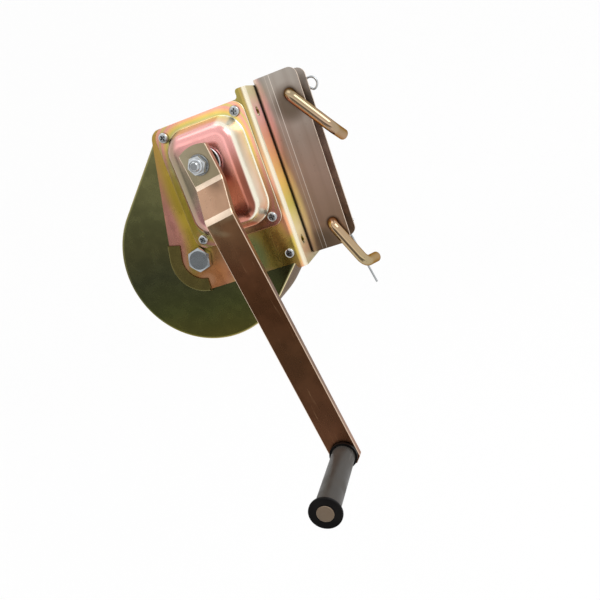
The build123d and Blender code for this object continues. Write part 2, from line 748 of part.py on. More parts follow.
def on_lip_rim(edge, radius):
    """Whether an edge follows the lip along the slanted edge or round the axle corner."""
    normal = edge_normal_angle()
    rise = (lip_rise * cos(radians(normal - 90)), lip_rise * sin(radians(normal - 90)))
    start = polar(axle_x, axle_z, radius, normal)
    places = [(start[0] + rise[0] / 2, start[1] + rise[1] / 2),
              polar(axle_x, axle_z, radius, (normal + lip_end) / 2)]
    middle = edge @ 0.5
    return min(hypot(middle.X - x, middle.Z - z) for x, z in places) < over


# ================================================================ crank
def in_arm_frame(shape):
    """Turn a shape drawn straight down from the crank shaft into the lean of the arm."""
    pivot = Pos(shaft_x, 0, shaft_z)
    return pivot * Rot(0, -arm_lean, 0) * shape


def build_arm():
    """Flat bar with a double bend, a crowned top end and a chamfered tail."""
    rise = atan2(arm_offset, jog_end - jog_start)
    lag = arm_sheet * tan(rise / 2)
    top, tail = arm_crown, -(arm_throw + arm_tail)
    front = [(arm_outer_face, top), (arm_outer_face, -jog_start), (grip_face, -jog_end), (grip_face, tail)]
    back = [(grip_face + arm_sheet, tail), (grip_face + arm_sheet, -jog_end - lag),
            (arm_back, -jog_start - lag), (arm_back, top)]
    profile = make_face(Polyline(*(front + back), close=True))
    bends = [(front[1], jog_hollow), (front[2], jog_nose),
             (back[1], jog_nose - arm_sheet), (back[2], jog_hollow + arm_sheet)]
    for (y, z), radius in bends:
        profile = fillet(profile.vertices().sort_by_distance((y, z, 0))[0], radius)
    bar = extrude(Plane.YZ.offset(-arm_width / 2) * profile, arm_width)
    half = arm_width / 2
    shoulder = arm_crown - arm_crown_drop
    outline = make_face(Wire([
        ThreePointArc((-half, shoulder), (0, arm_crown), (half, shoulder)),
        Line((half, shoulder), (half, tail + arm_chamfer)),
        Line((half, tail + arm_chamfer), (half - arm_chamfer, tail)),
        Line((half - arm_chamfer, tail), (-half + arm_chamfer, tail)),
        Line((-half + arm_chamfer, tail), (-half, tail + arm_chamfer)),
        Line((-half, tail + arm_chamfer), (-half, shoulder))]))
    bar &= slab(outline, grip_face - over, arm_back + over)
    front_rim = [edge for edge in bar.edges() if on_arm_front(edge)]
    bar = chamfer(front_rim, arm_edge)
    bar -= slab(flatted_circle(0.0), arm_outer_face - over, arm_back + over)
    bar -= disc(0, -arm_throw, spindle_diameter / 2, grip_face - over, grip_face + arm_sheet + over)
    return in_arm_frame(bar)


def on_arm_front(edge):
    """Whether an edge runs down one side of the front of the arm, below its bends."""
    middle = edge @ 0.5
    straight = abs((edge % 0.5).Z) > 1 - 1e-6
    return straight and abs(middle.Y - grip_face) < 0.01 and abs(abs(middle.X) - arm_width / 2) < 0.01


def flatted_circle(grow):
    """Section of the hub end that drives the arm: a circle with two flats."""
    return Circle(hub_neck / 2 + grow) & Rectangle(hub_neck + 2 * grow, hub_flats + 2 * grow)


def build_handle_parts():
    """Spindle, grip tube and its two collars, all on the handle axis."""
    x, z = handle_x, handle_z
    radius = spindle_diameter / 2
    arm_inside = grip_face + arm_sheet
    head = disc(x, z, spindle_head / 2, handle_end + spindle_head_height, handle_end)
    spindle = fillet(rim_at(head, handle_end), spindle_head_round)
    spindle += disc(x, z, radius, arm_inside, handle_end + spindle_head_height)
    spindle += disc(x, z, radius + spindle_shoulder, arm_inside, arm_inside + spindle_shoulder)
    washer_face = grip_face - handle_washer_sheet
    washer = tube(x, z, spindle_head / 2 + handle_washer_width, radius + bolt_hole_clearance, grip_face,
                  washer_face)
    far_end = washer_face - side_clearance
    near_end = handle_end + collar_sink
    recess = handle_end + spindle_head_height + side_clearance
    bore = radius + running_clearance
    plug = grip_outer / 2 - grip_wall
    inner_collar = tube(x, z, collar_outer / 2 - collar_step, bore, far_end, far_end - collar_sheet)
    inner_collar += tube(x, z, plug, bore, far_end - collar_sheet, far_end - collar_sheet - collar_plug)
    outer_collar = disc(x, z, collar_outer / 2, near_end, near_end + collar_sheet)
    outer_collar = fillet(outer_collar.edges().filter_by(GeomType.CIRCLE), collar_round)
    outer_collar += disc(x, z, plug, near_end + collar_sheet, near_end + collar_sheet + collar_plug)
    outer_collar -= disc(x, z, spindle_head / 2 + side_clearance, near_end - over, recess)
    outer_collar -= disc(x, z, bore, near_end, near_end + collar_sheet + collar_plug + over)
    grip = tube(x, z, grip_outer / 2, plug, far_end - collar_sheet, near_end + collar_sheet)
    return {"handle_spindle": spindle, "handle_washer": washer, "grip_tube": grip,
            "grip_inner_collar": inner_collar, "grip_outer_collar": outer_collar}


def build_drive_parts():
    """Pinion shaft, Weston brake stack, crank hub and its nut, from the side plate outwards."""
    x, z = shaft_x, shaft_z
    flange_in = near_face - bush_flange_sheet - side_clearance
    flange_out = flange_in - brake_flange_sheet
    inner_disc = flange_out - friction_sheet
    wheel = inner_disc - ratchet_sheet
    outer_disc = wheel - friction_sheet
    hub_face = outer_disc - brake_flange_sheet
    disc_back = dome_face - hub_disc_lift
    disc_face = disc_back - hub_disc_sheet
    stud_end = arm_outer_face - stud_reach
    pinion_near = near_inner + guard_sheet + pinion_gap
    clip_in = far_face + bush_flange_sheet + side_clearance
    groove = shaft_diameter / 2 - circlip_groove
    shaft = disc(x, z, shaft_diameter / 2, flange_in, clip_in + shaft_overhang)
    shaft += slab(Pos(x, z) * gear_outline(pinion_teeth, pinion_phase()), pinion_near,
                  pinion_near + pinion_face)
    shaft += disc(x, z, brake_flange_outer / 2, flange_in, flange_out)
    shaft += disc(x, z, hub_bore / 2 - fit_clearance, flange_out, disc_back + hub_web)
    shaft -= tube(x, z, shaft_diameter, groove, clip_in, clip_in + circlip_sheet + running_clearance)
    circlip = tube(x, z, groove + circlip_width, groove + fit_clearance, clip_in, clip_in + circlip_sheet)
    circlip -= slab(Pos(x, z - shaft_diameter / 2) * Rectangle(circlip_mouth, shaft_diameter),
                    clip_in - over, clip_in + circlip_sheet + over)
    hub = tube(x, z, brake_flange_outer / 2, hub_bore / 2, outer_disc, hub_face)
    hub += tube(x, z, hub_sleeve / 2, hub_bore / 2, hub_face, disc_back)
    hub += disc(x, z, hub_neck / 2, disc_back + hub_web, arm_back)
    hub += in_arm_frame(slab(flatted_circle(-fit_clearance), arm_back, arm_outer_face + side_clearance))
    hub += disc(x, z, stud_diameter / 2, arm_outer_face + side_clearance, stud_end)
    hub = chamfer(rim_at(hub, stud_end), stud_chamfer)
    hub_disc = tube(x, z, hub_disc_outer / 2, hub_neck / 2 + fit_clearance, disc_back, disc_face)
    disc_rims = hub_disc.edges().filter_by(GeomType.CIRCLE).sort_by(SortBy.RADIUS)[-2:]
    hub_disc = fillet(disc_rims, hub_disc_round)
    ring_bore = hub_bore / 2 + brake_clearance
    return {
        "pinion_shaft": shaft,
        "shaft_circlip": circlip,
        "inner_friction_disc": tube(x, z, friction_outer / 2, ring_bore, flange_out, inner_disc),
        "ratchet_wheel": build_ratchet(inner_disc, wheel),
        "outer_friction_disc": tube(x, z, friction_outer / 2, ring_bore, wheel, outer_disc),
        "crank_hub": hub,
        "hub_disc": hub_disc,
        "crank_washer": tube(x, z, crank_washer_outer / 2, stud_diameter / 2 + bolt_hole_clearance,
                             arm_outer_face, arm_outer_face - crank_washer_sheet),
        "crank_nut": build_lock_nut(x, z, crank_nut_across, arm_outer_face - crank_washer_sheet, -1,
                                    crank_nut_height, stud_diameter),
    }


def build_lock_nut(x, z, across, seat, direction, height, bore):
    """Hexagon nut whose crown is a round collar."""
    body = hexagon(x, z, across, seat, seat + direction * height * nut_hexagon_share)
    top = seat + direction * height
    crown = disc(x, z, across * nut_collar_share, seat, top)
    crown = fillet(rim_at(crown, top), nut_collar_round)
    return body + crown - disc(x, z, bore / 2 + fit_clearance, seat - direction * over, top + direction * over)


# ================================================================ build every node
def build_all():
    """Every node by name."""
    screw_tip = near_inner + screw_overhang
    guard_screw = build_screw(guard_screw_x, guard_screw_z, near_face, screw_tip, screw_turn)
    near_bush = build_bush()
    nodes = {
        "frame": build_frame(),
        "leg_channel": build_channel(),
        "channel_bolts": group([channel_fastener(y, z, True) for y, z in channel_bolt_places()]),
        "channel_nuts": group([channel_fastener(y, z, False) for y, z in channel_bolt_places()]),
        "gear_cover": build_cover(),
        "cover_screws": group([build_screw(x, z, cover_face, screw_tip, screw_turn + screw_turn_step * k)
                               for k, (x, z) in enumerate(screw_places())]),
        "guard_screws": group([guard_screw, mirror(guard_screw, Plane.XZ)]),
        "near_guard": build_guard(-1),
        "far_guard": build_guard(1),
        "near_bush": near_bush,
        "far_bush": mirror(near_bush, Plane.XZ),
        "drum_gear": build_drum_gear(),
        "drum_barrel": tube(axle_x, axle_z, barrel_outer / 2, barrel_outer / 2 - barrel_wall, gear_far,
                            drum_far),
        "far_flange": build_far_flange(),
        "drum_hub": tube(axle_x, axle_z, drum_hub_outer / 2, drum_bush_outer / 2,
                         near_inner + side_clearance, far_inner - side_clearance),
        "drum_bushes": group([
            tube(axle_x, axle_z, drum_bush_outer / 2, spacer_outer / 2 + running_clearance,
                 end, end - side * drum_bush_length)
            for side, end in ((-1, near_inner + side_clearance), (1, far_inner - side_clearance))]),
        "axle_spacer": tube(axle_x, axle_z, spacer_outer / 2, bolt_diameter / 2 + bolt_hole_clearance,
                            near_inner, far_inner),
        "rope_clamp": build_rope_clamp(),
        "clamp_screws": group([build_clamp_screw(x, z) for x, z in clamp_screw_places()]),
        "crank_arm": build_arm(),
    }
    nodes.update(build_axle_bolt())
    nodes.update(build_drive_parts())
    nodes.update(build_handle_parts())
    nodes.update(build_pawl_parts())
    nodes.update(build_pin_parts())
    return nodes


def build_bush():
    """Flanged bush of the pinion shaft, in the near side plate."""
    bore = shaft_diameter / 2 + running_clearance
    return (tube(shaft_x, shaft_z, bush_outer / 2, bore, near_face, near_inner + guard_sheet)
            + tube(shaft_x, shaft_z, bush_flange / 2, bore, near_face, near_face - bush_flange_sheet))


def build_axle_bolt():
    """The bolt that the drum turns on, with its washer and lock nut."""
    nut_seat = far_face + axle_washer_sheet
    bolt_end = nut_seat + axle_nut_height + axle_bolt_overhang
    bolt = disc(axle_x, axle_z, bolt_diameter / 2, near_face, bolt_end)
    bolt += hexagon(axle_x, axle_z, bolt_head_across, near_face, near_face - bolt_head_height, axle_bolt_turn)
    return {
        "axle_bolt": chamfer(rim_at(bolt, bolt_end), stud_chamfer),
        "axle_washer": tube(axle_x, axle_z, axle_washer_outer / 2, bolt_diameter / 2 + bolt_hole_clearance,
                            far_face, nut_seat),
        "axle_nut": build_lock_nut(axle_x, axle_z, bolt_head_across, nut_seat, 1, axle_nut_height,
                                   bolt_diameter),
    }


def build_pawl_parts():
    """Pawl, its pin riveted into the side plate and the spring round the pin."""
    x, z = pawl_pivot()
    wheel_in = near_face - bush_flange_sheet - side_clearance - brake_flange_sheet - friction_sheet
    pawl_in = wheel_in - (ratchet_sheet - pawl_sheet) / 2
    pawl_out = pawl_in - pawl_sheet
    head = pawl_out - pawl_pin_reach
    radius = pawl_pin_diameter / 2
    pin = disc(x, z, radius, near_inner, head)
    pin += disc(x, z, radius + pawl_pin_collar, near_face, pawl_in + side_clearance)
    pin += disc(x, z, radius + pawl_pin_collar, head, head - pawl_pin_head)
    return {"pawl": build_pawl(pawl_in, pawl_out), "pawl_pin": pin,
            "pawl_spring": build_pawl_spring(pawl_out - side_clearance - spring_wire / 2)}


def build_pin_parts():
    """Both lock pins with their washers and spring clips."""
    nodes = {}
    pins = (("upper", 1, upper_handle_angle, upper_hook_drift, upper_clip_angle, upper_clip_tail),
            ("lower", -1, lower_handle_angle, lower_hook_drift, lower_clip_angle, lower_clip_tail))
    for name, level, handle_angle, hook_drift, clip_angle, tail in pins:
        z = level * pin_pitch / 2
        start = channel_outer_half + washer_gap
        nodes[name + "_lock_pin"] = build_lock_pin(z, handle_angle, hook_drift, clip_angle)
        nodes[name + "_pin_washer"] = tube(0, z, pin_washer_outer / 2,
                                           pin_diameter / 2 + pin_hole_clearance, start,
                                           start + pin_washer_sheet)
        nodes[name + "_spring_clip"] = build_clip(z, clip_angle, tail)
    return nodes


for node_name, node_shape in build_all().items():
    save(node_shape, node_name)
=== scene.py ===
"""Studio dressing of a hand-cranked wire rope puller in yellow-passivated zinc plate.

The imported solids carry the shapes. This file gives each of them its finish, adds the screw threads
and the nylon ring that the solids leave out, and lights the object in a plain white studio.
Lengths are in metres, in the frame of the solids: +Z up the leg, -Y towards the crank handle.
"""

import logging
import math
from dataclasses import dataclass
from enum import Enum

import bpy
import numpy as np
from mathutils import Matrix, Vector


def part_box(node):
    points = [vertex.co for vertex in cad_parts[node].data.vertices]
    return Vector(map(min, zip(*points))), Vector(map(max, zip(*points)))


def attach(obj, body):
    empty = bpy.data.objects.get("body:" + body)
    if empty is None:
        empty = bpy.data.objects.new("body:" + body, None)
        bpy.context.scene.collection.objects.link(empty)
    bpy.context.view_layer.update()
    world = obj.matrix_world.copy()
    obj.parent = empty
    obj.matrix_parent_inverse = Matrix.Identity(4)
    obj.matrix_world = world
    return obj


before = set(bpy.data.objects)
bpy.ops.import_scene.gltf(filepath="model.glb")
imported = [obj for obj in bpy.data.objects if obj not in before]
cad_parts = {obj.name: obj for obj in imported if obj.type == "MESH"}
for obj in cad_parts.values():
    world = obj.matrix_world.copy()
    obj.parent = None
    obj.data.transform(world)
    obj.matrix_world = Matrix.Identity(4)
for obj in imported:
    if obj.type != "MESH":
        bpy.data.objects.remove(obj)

logging.basicConfig(level=logging.INFO, format="%(name)s: %(message)s")
LOG = logging.getLogger("puller")
MM = 0.001
Colour = tuple[float, float, float]
Point = tuple[float, float, float]
Band = tuple[float, float]
Stop = tuple[float, Colour]
Socket = bpy.types.NodeSocket
Node = bpy.types.Node
Outputs = bpy.types.NodeOutputs
FADE = (1.0, 0.0)
WHITE = (1.0, 1.0, 1.0)
JUST_OVER_ONE = 1.0001
MIX_INPUTS = (0, 6, 7)  # factor and both colours of a Mix node
MIX_RESULT = 2


# ---------------------------------------------------------------- node-tree helpers
class Wire:
    """Short notation for building a node tree."""

    def __init__(self, tree: bpy.types.NodeTree) -> None:
        """Keeps the tree and clears it.

        Args:
            tree: the node tree to fill.
        """
        self.tree = tree
        tree.nodes.clear()

    def node(self, kind: str, **settings: object) -> Node:
        """Adds a node and sets its properties.

        Args:
            kind: the node's class name, without the ShaderNode prefix where it has one.
            settings: properties to set on the node.

        Returns:
            The new node.
        """
        name = kind if kind.startswith("Node") else "ShaderNode" + kind
        made = self.tree.nodes.new(name)
        for key, value in settings.items():
            setattr(made, key, value)
        return made

    def feed(self, target: Socket, value: object) -> None:
        """Links a socket to an input, or sets the input to a plain value.

        Args:
            target: the input.
            value: a socket, a number, a vector or a linear colour.
        """
        if isinstance(value, Socket):
            self.tree.links.new(value, target)
        elif target.type == "RGBA":
            target.default_value = (*value, 1.0)
        else:
            target.default_value = value

    def fill(self, made: Node, **values: object) -> Node:
        """Links or sets a node's inputs.

        Args:
            made: the node.
            values: input values, with underscores for spaces in the input's name.

        Returns:
            The same node.
        """
        for key, value in values.items():
            self.feed(made.inputs[key.replace("_", " ")], value)
        return made

    def coordinate(self, name: str) -> Socket:
        """Returns a texture coordinate, such as Object or Normal."""
        return self.node("TexCoord").outputs[name]

    def split(self, vector: Socket) -> Outputs:
        """Returns the X, Y and Z of a vector."""
        return self.fill(self.node("SeparateXYZ"), Vector=vector).outputs

    def math(self, operation: str, *values: object) -> Socket:
        """Adds a Math node.

        Args:
            operation: the Math operation.
            values: a socket or a number for each input that the operation has.

        Returns:
            The value socket.
        """
        made = self.node("Math", operation=operation)
        for target, value in zip(made.inputs, values):
            self.feed(target, value)
        return made.outputs[0]

    def times(self, first: Socket, *others: object) -> Socket:
        """Multiplies a value by others, one after the other.

        Args:
            first: the value.
            others: sockets or numbers.

        Returns:
            The product.
        """
        for other in others:
            first = self.math("MULTIPLY", first, other)
        return first

    def rest(self, value: Socket) -> Socket:
        """Returns what a share leaves of one."""
        return self.math("SUBTRACT", 1.0, value)

    def vector(self, operation: str, first: Socket, second: Socket) -> Socket:
        """Adds a Vector Math node.

        Args:
            operation: the operation.
            first: a vector.
            second: a vector.

        Returns:
            The number that a dot product gives, or else the vector.
        """
        made = self.node("VectorMath", operation=operation)
        self.feed(made.inputs[0], first)
        self.feed(made.inputs[1], second)
        return made.outputs["Value" if operation == "DOT_PRODUCT" else "Vector"]

    def span(self, value: Socket, band: Band, results: Band = (0.0, 1.0),
             kind: str = "SMOOTHSTEP") -> Socket:
        """Maps a range onto another and clamps it.

        Args:
            value: the socket to map.
            band: start and end of the incoming range.
            results: start and end of the outgoing range.
            kind: the interpolation between them.

        Returns:
            The mapped value.
        """
        made = self.node("MapRange", interpolation_type=kind)
        self.fill(made, Value=value, From_Min=band[0], From_Max=band[1], To_Min=results[0],
                  To_Max=results[1])
        return made.outputs["Result"]

    def noise(self, place: Socket, scale: object, **others: object) -> Socket:
        """Adds a noise, which has a fourth dimension where W is among its inputs.

        Args:
            place: the coordinate.
            scale: a socket or a number.
            others: values of further inputs.

        Returns:
            The noise, from 0 to 1.
        """
        made = self.node("TexNoise", noise_dimensions="4D" if "W" in others else "3D")
        self.fill(made, Vector=place, Scale=scale, **others)
        return made.outputs["Fac"]

    def bump(self, height: Socket, strength: float, distance: float, **under: Socket) -> Socket:
        """Adds a bump.

        Args:
            height: the height.
            strength: the share of the bump.
            distance: the length, in metres, that a height of one stands for.
            under: a normal below this bump, under the name Normal.

        Returns:
            The normal.
        """
        made = self.fill(self.node("Bump"), Strength=strength, Distance=distance, Height=height, **under)
        return made.outputs[0]

    def ramp(self, value: Socket, stops: tuple[Stop, ...], kind: str = "LINEAR") -> Socket:
        """Adds a colour ramp.

        Args:
            value: the position on the ramp.
            stops: positions and linear colours, in rising order.
            kind: the interpolation between them.

        Returns:
            The colour socket.
        """
        made = self.fill(self.node("ValToRGB"), Fac=value)
        made.color_ramp.interpolation = kind
        elements = made.color_ramp.elements
        while len(elements) < len(stops):
            elements.new(0.5)
        for element, (place, colour) in zip(elements, stops):
            element.position = place
            element.color = (*colour, 1.0)
        return made.outputs[0]

    def mix(self, factor: Socket, first: object, second: object) -> Socket:
        """Mixes two colours.

        Args:
            factor: the share of the second colour.
            first: a socket or a linear colour.
            second: a socket or a linear colour.

        Returns:
            The colour socket.
        """
        made = self.node("Mix", data_type="RGBA")
        for index, value in zip(MIX_INPUTS, (factor, first, second)):
            self.feed(made.inputs[index], value)
        return made.outputs[MIX_RESULT]

    def use_group(self, group: "Group", **values: object) -> Outputs:
        """Puts a shared group into the tree.

        Args:
            group: the group.
            values: input values, with underscores for spaces in the input's name.

        Returns:
            The outputs of the group node.
        """
        return self.fill(self.node("Group", node_tree=group.tree), **values).outputs

    def cover(self, under: object, *coats: tuple[Socket, float, Colour]) -> Socket:
        """Lays masked colours over a colour, from the lowest up.

        Args:
            under: a socket or a linear colour.
            coats: mask, share and linear colour of each layer.

        Returns:
            The colour socket.
        """
        for mask, share, colour in coats:
            under = self.mix(self.times(mask, share), under, colour)
        return under


class Group:
    """A shared shader node group, built once."""

    def __init__(self, name: str, inputs: dict[str, float | Point], outputs: tuple[str, ...]) -> None:
        """Makes the group with its interface.

        Args:
            name: the group's name.
            inputs: name and default of each input, a number or a vector.
            outputs: name of each output, all of them numbers.
        """
        self.tree = bpy.data.node_groups.new(name, "ShaderNodeTree")
        for key, default in inputs.items():
            kind = "NodeSocketVector" if isinstance(default, tuple) else "NodeSocketFloat"
            made = self.tree.interface.new_socket(key, in_out="INPUT", socket_type=kind)
            made.default_value = default
        for key in outputs:
            self.tree.interface.new_socket(key, in_out="OUTPUT", socket_type="NodeSocketFloat")
        self.wire = Wire(self.tree)
        self.inside = self.wire.node("NodeGroupInput").outputs
        self.end = self.wire.node("NodeGroupOutput")


RING_POWER = 4.0
CLOUD_MIDDLE = 0.5
CLOUD_SWING = 2.0
SCRATCH_BAND = (0.60, 0.75)
WIPE_BAND = (0.35, 0.70)
WIPE_SCALE = 0.12
SPECK_BAND = (0.10, 0.22)
SMUDGE_BAND = (0.42, 0.68)
SMUDGE_SCALE = 45.0
CREVICE_BAND = (0.30, 0.85)


def film_group() -> Group:
    """Passivate film: a thickness that drifts across a sheet, grows round a pressing and is clouded.

    The pressing's outline is a superellipse, (|x| ** 4 + |z| ** 4) ** (1 / 4), in X and Z.

    Returns:
        The group, whose Film output picks a colour from a ramp.
    """
    group = Group("passivate_film", {
        "Direction": (1.0, 0.0, 0.0), "Gain": 4.0, "Offset": 0.5, "Centre": (0.0, 0.0, 0.0),
        "Spread": (10.0, 10.0, 10.0), "Ring": 0.0, "Ring Start": 0.0, "Cloud": 0.2,
        "Cloud Scale": 12.0, "Seed": 0.0}, ("Film",))
    wire, inside = group.wire, group.inside
    place = wire.coordinate("Object")
    along = wire.vector("DOT_PRODUCT", place, inside["Direction"])
    drift = wire.math("MULTIPLY_ADD", along, inside["Gain"], inside["Offset"])
    away = wire.vector("SUBTRACT", place, inside["Centre"])
    spread = wire.split(wire.vector("MULTIPLY", away, inside["Spread"]))
    powers = [wire.math("POWER", wire.math("ABSOLUTE", spread[axis]), RING_POWER) for axis in ("X", "Z")]
    ring = wire.math("POWER", wire.math("ADD", *powers), 1.0 / RING_POWER)
    past = wire.math("MAXIMUM", wire.math("SUBTRACT", ring, inside["Ring Start"]), 0.0)
    grown = wire.math("ADD", drift, wire.times(past, inside["Ring"]))
    cloud = wire.noise(place, inside["Cloud Scale"], W=inside["Seed"], Detail=3.0, Roughness=0.45,
                       Distortion=0.6)
    swing = wire.times(wire.math("SUBTRACT", cloud, CLOUD_MIDDLE), inside["Cloud"], CLOUD_SWING)
    wire.fill(group.end, Film=wire.math("PINGPONG", wire.math("ADD", grown, swing), 1.0))
    return group


def brush_group() -> Group:
    """Fine scratches drawn out along one axis, with a coarser wipe of dirt under them.

    Returns:
        The group, with a scratch mask, a wipe mask and a height.
    """
    group = Group("drawn_grain", {"Stretch": (1.0, 1.0, 0.03), "Scale": 900.0, "Turn": 0.0},
                  ("Scratch", "Wipe", "Height"))
    wire, inside = group.wire, group.inside
    turned = wire.node("VectorRotate", rotation_type="Y_AXIS")
    wire.fill(turned, Vector=wire.coordinate("Object"), Angle=inside["Turn"])
    drawn = wire.vector("MULTIPLY", turned.outputs[0], inside["Stretch"])
    fine = wire.noise(drawn, inside["Scale"], Detail=5.0, Roughness=0.7)
    wipe = wire.noise(drawn, wire.times(inside["Scale"], WIPE_SCALE), Detail=3.0)
    wire.fill(group.end, Scratch=wire.span(fine, SCRATCH_BAND), Wipe=wire.span(wipe, WIPE_BAND),
              Height=fine)
    return group


def speck_group() -> Group:
    """Small pits and the smudges that handling leaves on bright plate.

    Returns:
        The group, with a mask of scattered specks and a mask of smudges.
    """
    group = Group("handling_marks", {"Scale": 260.0, "Density": 0.5}, ("Speck", "Smudge"))
    wire, inside = group.wire, group.inside
    place = wire.coordinate("Object")
    cells = wire.fill(wire.node("TexVoronoi", feature="F1"), Vector=place, Scale=inside["Scale"])
    patch = wire.noise(place, SMUDGE_SCALE, Detail=4.0)
    near = wire.span(cells.outputs["Distance"], SPECK_BAND, FADE)
    sparse = wire.math("LESS_THAN", patch, inside["Density"])
    wire.fill(group.end, Speck=wire.times(near, sparse), Smudge=wire.span(patch, SMUDGE_BAND))
    return group


def crevice_shade_group() -> Group:
    """Painted shade where surfaces meet: a darkening found by ambient occlusion.

    Returns:
        The group, with a mask that is 1 deep in a crevice and 0 in the open.
    """
    group = Group("crevice_painted_shade", {"Reach": 0.006}, ("Dirt",))
    wire = group.wire
    gather = wire.fill(wire.node("AmbientOcclusion", samples=8), Distance=group.inside["Reach"])
    wire.fill(group.end, Dirt=wire.span(gather.outputs["AO"], CREVICE_BAND, FADE))
    return group


# ---------------------------------------------------------------- finishes
# A band holds where a mask begins and where it ends: in metres for a place, and from 0 to 1 for the
# share of a normal along one axis.
class Effects:
    """The shared node groups."""

    def __init__(self) -> None:
        """Builds each group once."""
        self.film = film_group()
        self.brush = brush_group()
        self.speck = speck_group()
        self.crevice = crevice_shade_group()


def new_material(name: str) -> tuple[bpy.types.Material, Wire, Node]:
    """Starts a material with one Principled BSDF.

    Args:
        name: the material's name.

    Returns:
        The material, its tree and its Principled node.
    """
    made = bpy.data.materials.new(name)
    made.use_nodes = True
    wire = Wire(made.node_tree)
    shader = wire.node("BsdfPrincipled")
    wire.fill(wire.node("OutputMaterial"), Surface=shader.outputs[0])
    return made, wire, shader


@dataclass(frozen=True)
class Spot:
    """Where a point of a piece lies and how its surface faces, as sockets of one material."""

    wire: Wire
    place: Outputs
    facing: Outputs
    flat: Socket

    @classmethod
    def on(cls, wire: Wire) -> "Spot":
        """Reads the place and the normal into a material.

        Args:
            wire: the material's tree.

        Returns:
            The spot, whose flat is 1 on a face square to Y and 0 on one along it.
        """
        facing = wire.split(wire.coordinate("Normal"))
        place = wire.split(wire.coordinate("Object"))
        return cls(wire, place, facing, wire.math("ABSOLUTE", facing["Y"]))


@dataclass(frozen=True)
class Patch:
    """A soft patch of another colour, with its centre and its reach in X and Z. Most are film stains; on
    the channel some are painted shade and painted highlight.
    """

    centre: tuple[float, float]
    reach: tuple[float, float]
    colour: Colour
    strength: float = 0.8
    soft: Band = (0.05, 1.0)

    def lay(self, spot: Spot, under: Socket) -> Socket:
        """Mixes the patch over a colour.

        Args:
            spot: the place on the piece.
            under: the colour below.

        Returns:
            The mixed colour.
        """
        wire = spot.wire
        squares = []
        for axis, middle_at, reach in zip(("X", "Z"), self.centre, self.reach):
            share = wire.math("DIVIDE", wire.math("SUBTRACT", spot.place[axis], middle_at), reach)
            squares.append(wire.math("POWER", wire.math("ABSOLUTE", share), 2.0))
        mask = wire.span(wire.math("ADD", *squares), self.soft, (self.strength, 0.0))
        return wire.mix(mask, under, self.colour)


class Trim:
    """What one kind of piece adds to its zinc film. This base adds nothing."""

    def edges(self, spot: Spot, wear_and_highlight: Socket) -> Socket:
        """Returns the mask of the painted highlight on bent edges."""
        return wear_and_highlight

    def lay(self, spot: Spot, under: Socket) -> Socket:
        """Returns the colour with the trim on it."""
        return under

    def matt(self, spot: Spot, matt: Socket | None) -> Socket | None:
        """Returns the share that doesn't shine as bare metal."""
        return matt

    def rise(self, spot: Spot, height: Socket) -> Socket:
        """Returns the height of the slow relief."""
        return height


@dataclass(frozen=True)
class CutEdge(Trim):
    """Bands of film up the cut edge of a side plate, on the side of the leg."""

    stops: tuple[Stop, ...]
    ends: Band = (-0.1035, 0.0925)
    edge_at: float = -0.0351
    blend: Band = (0.0006, 0.0001)
    turned: Band = (0.30, 0.65)
    share: float = 0.8

    def beyond(self, spot: Spot, share: float) -> Socket:
        """Finds the last fraction of a millimetre before the edge.

        Args:
            spot: the place on the piece.
            share: the mask's value at the edge.

        Returns:
            The mask.
        """
        band = (self.edge_at - self.blend[0], self.edge_at - self.blend[1])
        return spot.wire.span(spot.place["X"], band, (0.0, share))

    def lay(self, spot: Spot, under: Socket) -> Socket:
        """Mixes the bands over a colour.

        Args:
            spot: the place on the piece.
            under: the colour below.

        Returns:
            The mixed colour.
        """
        wire = spot.wire
        along = wire.span(spot.place["Z"], self.ends, kind="LINEAR")
        side = wire.times(self.beyond(spot, 1.0), wire.span(spot.flat, self.turned, FADE))
        return wire.mix(side, under, wire.ramp(along, self.stops))

    def matt(self, spot: Spot, matt: Socket | None) -> Socket | None:
        """Returns the larger of the share below and the edge's own."""
        return spot.wire.math("MAXIMUM", matt, self.beyond(spot, self.share))


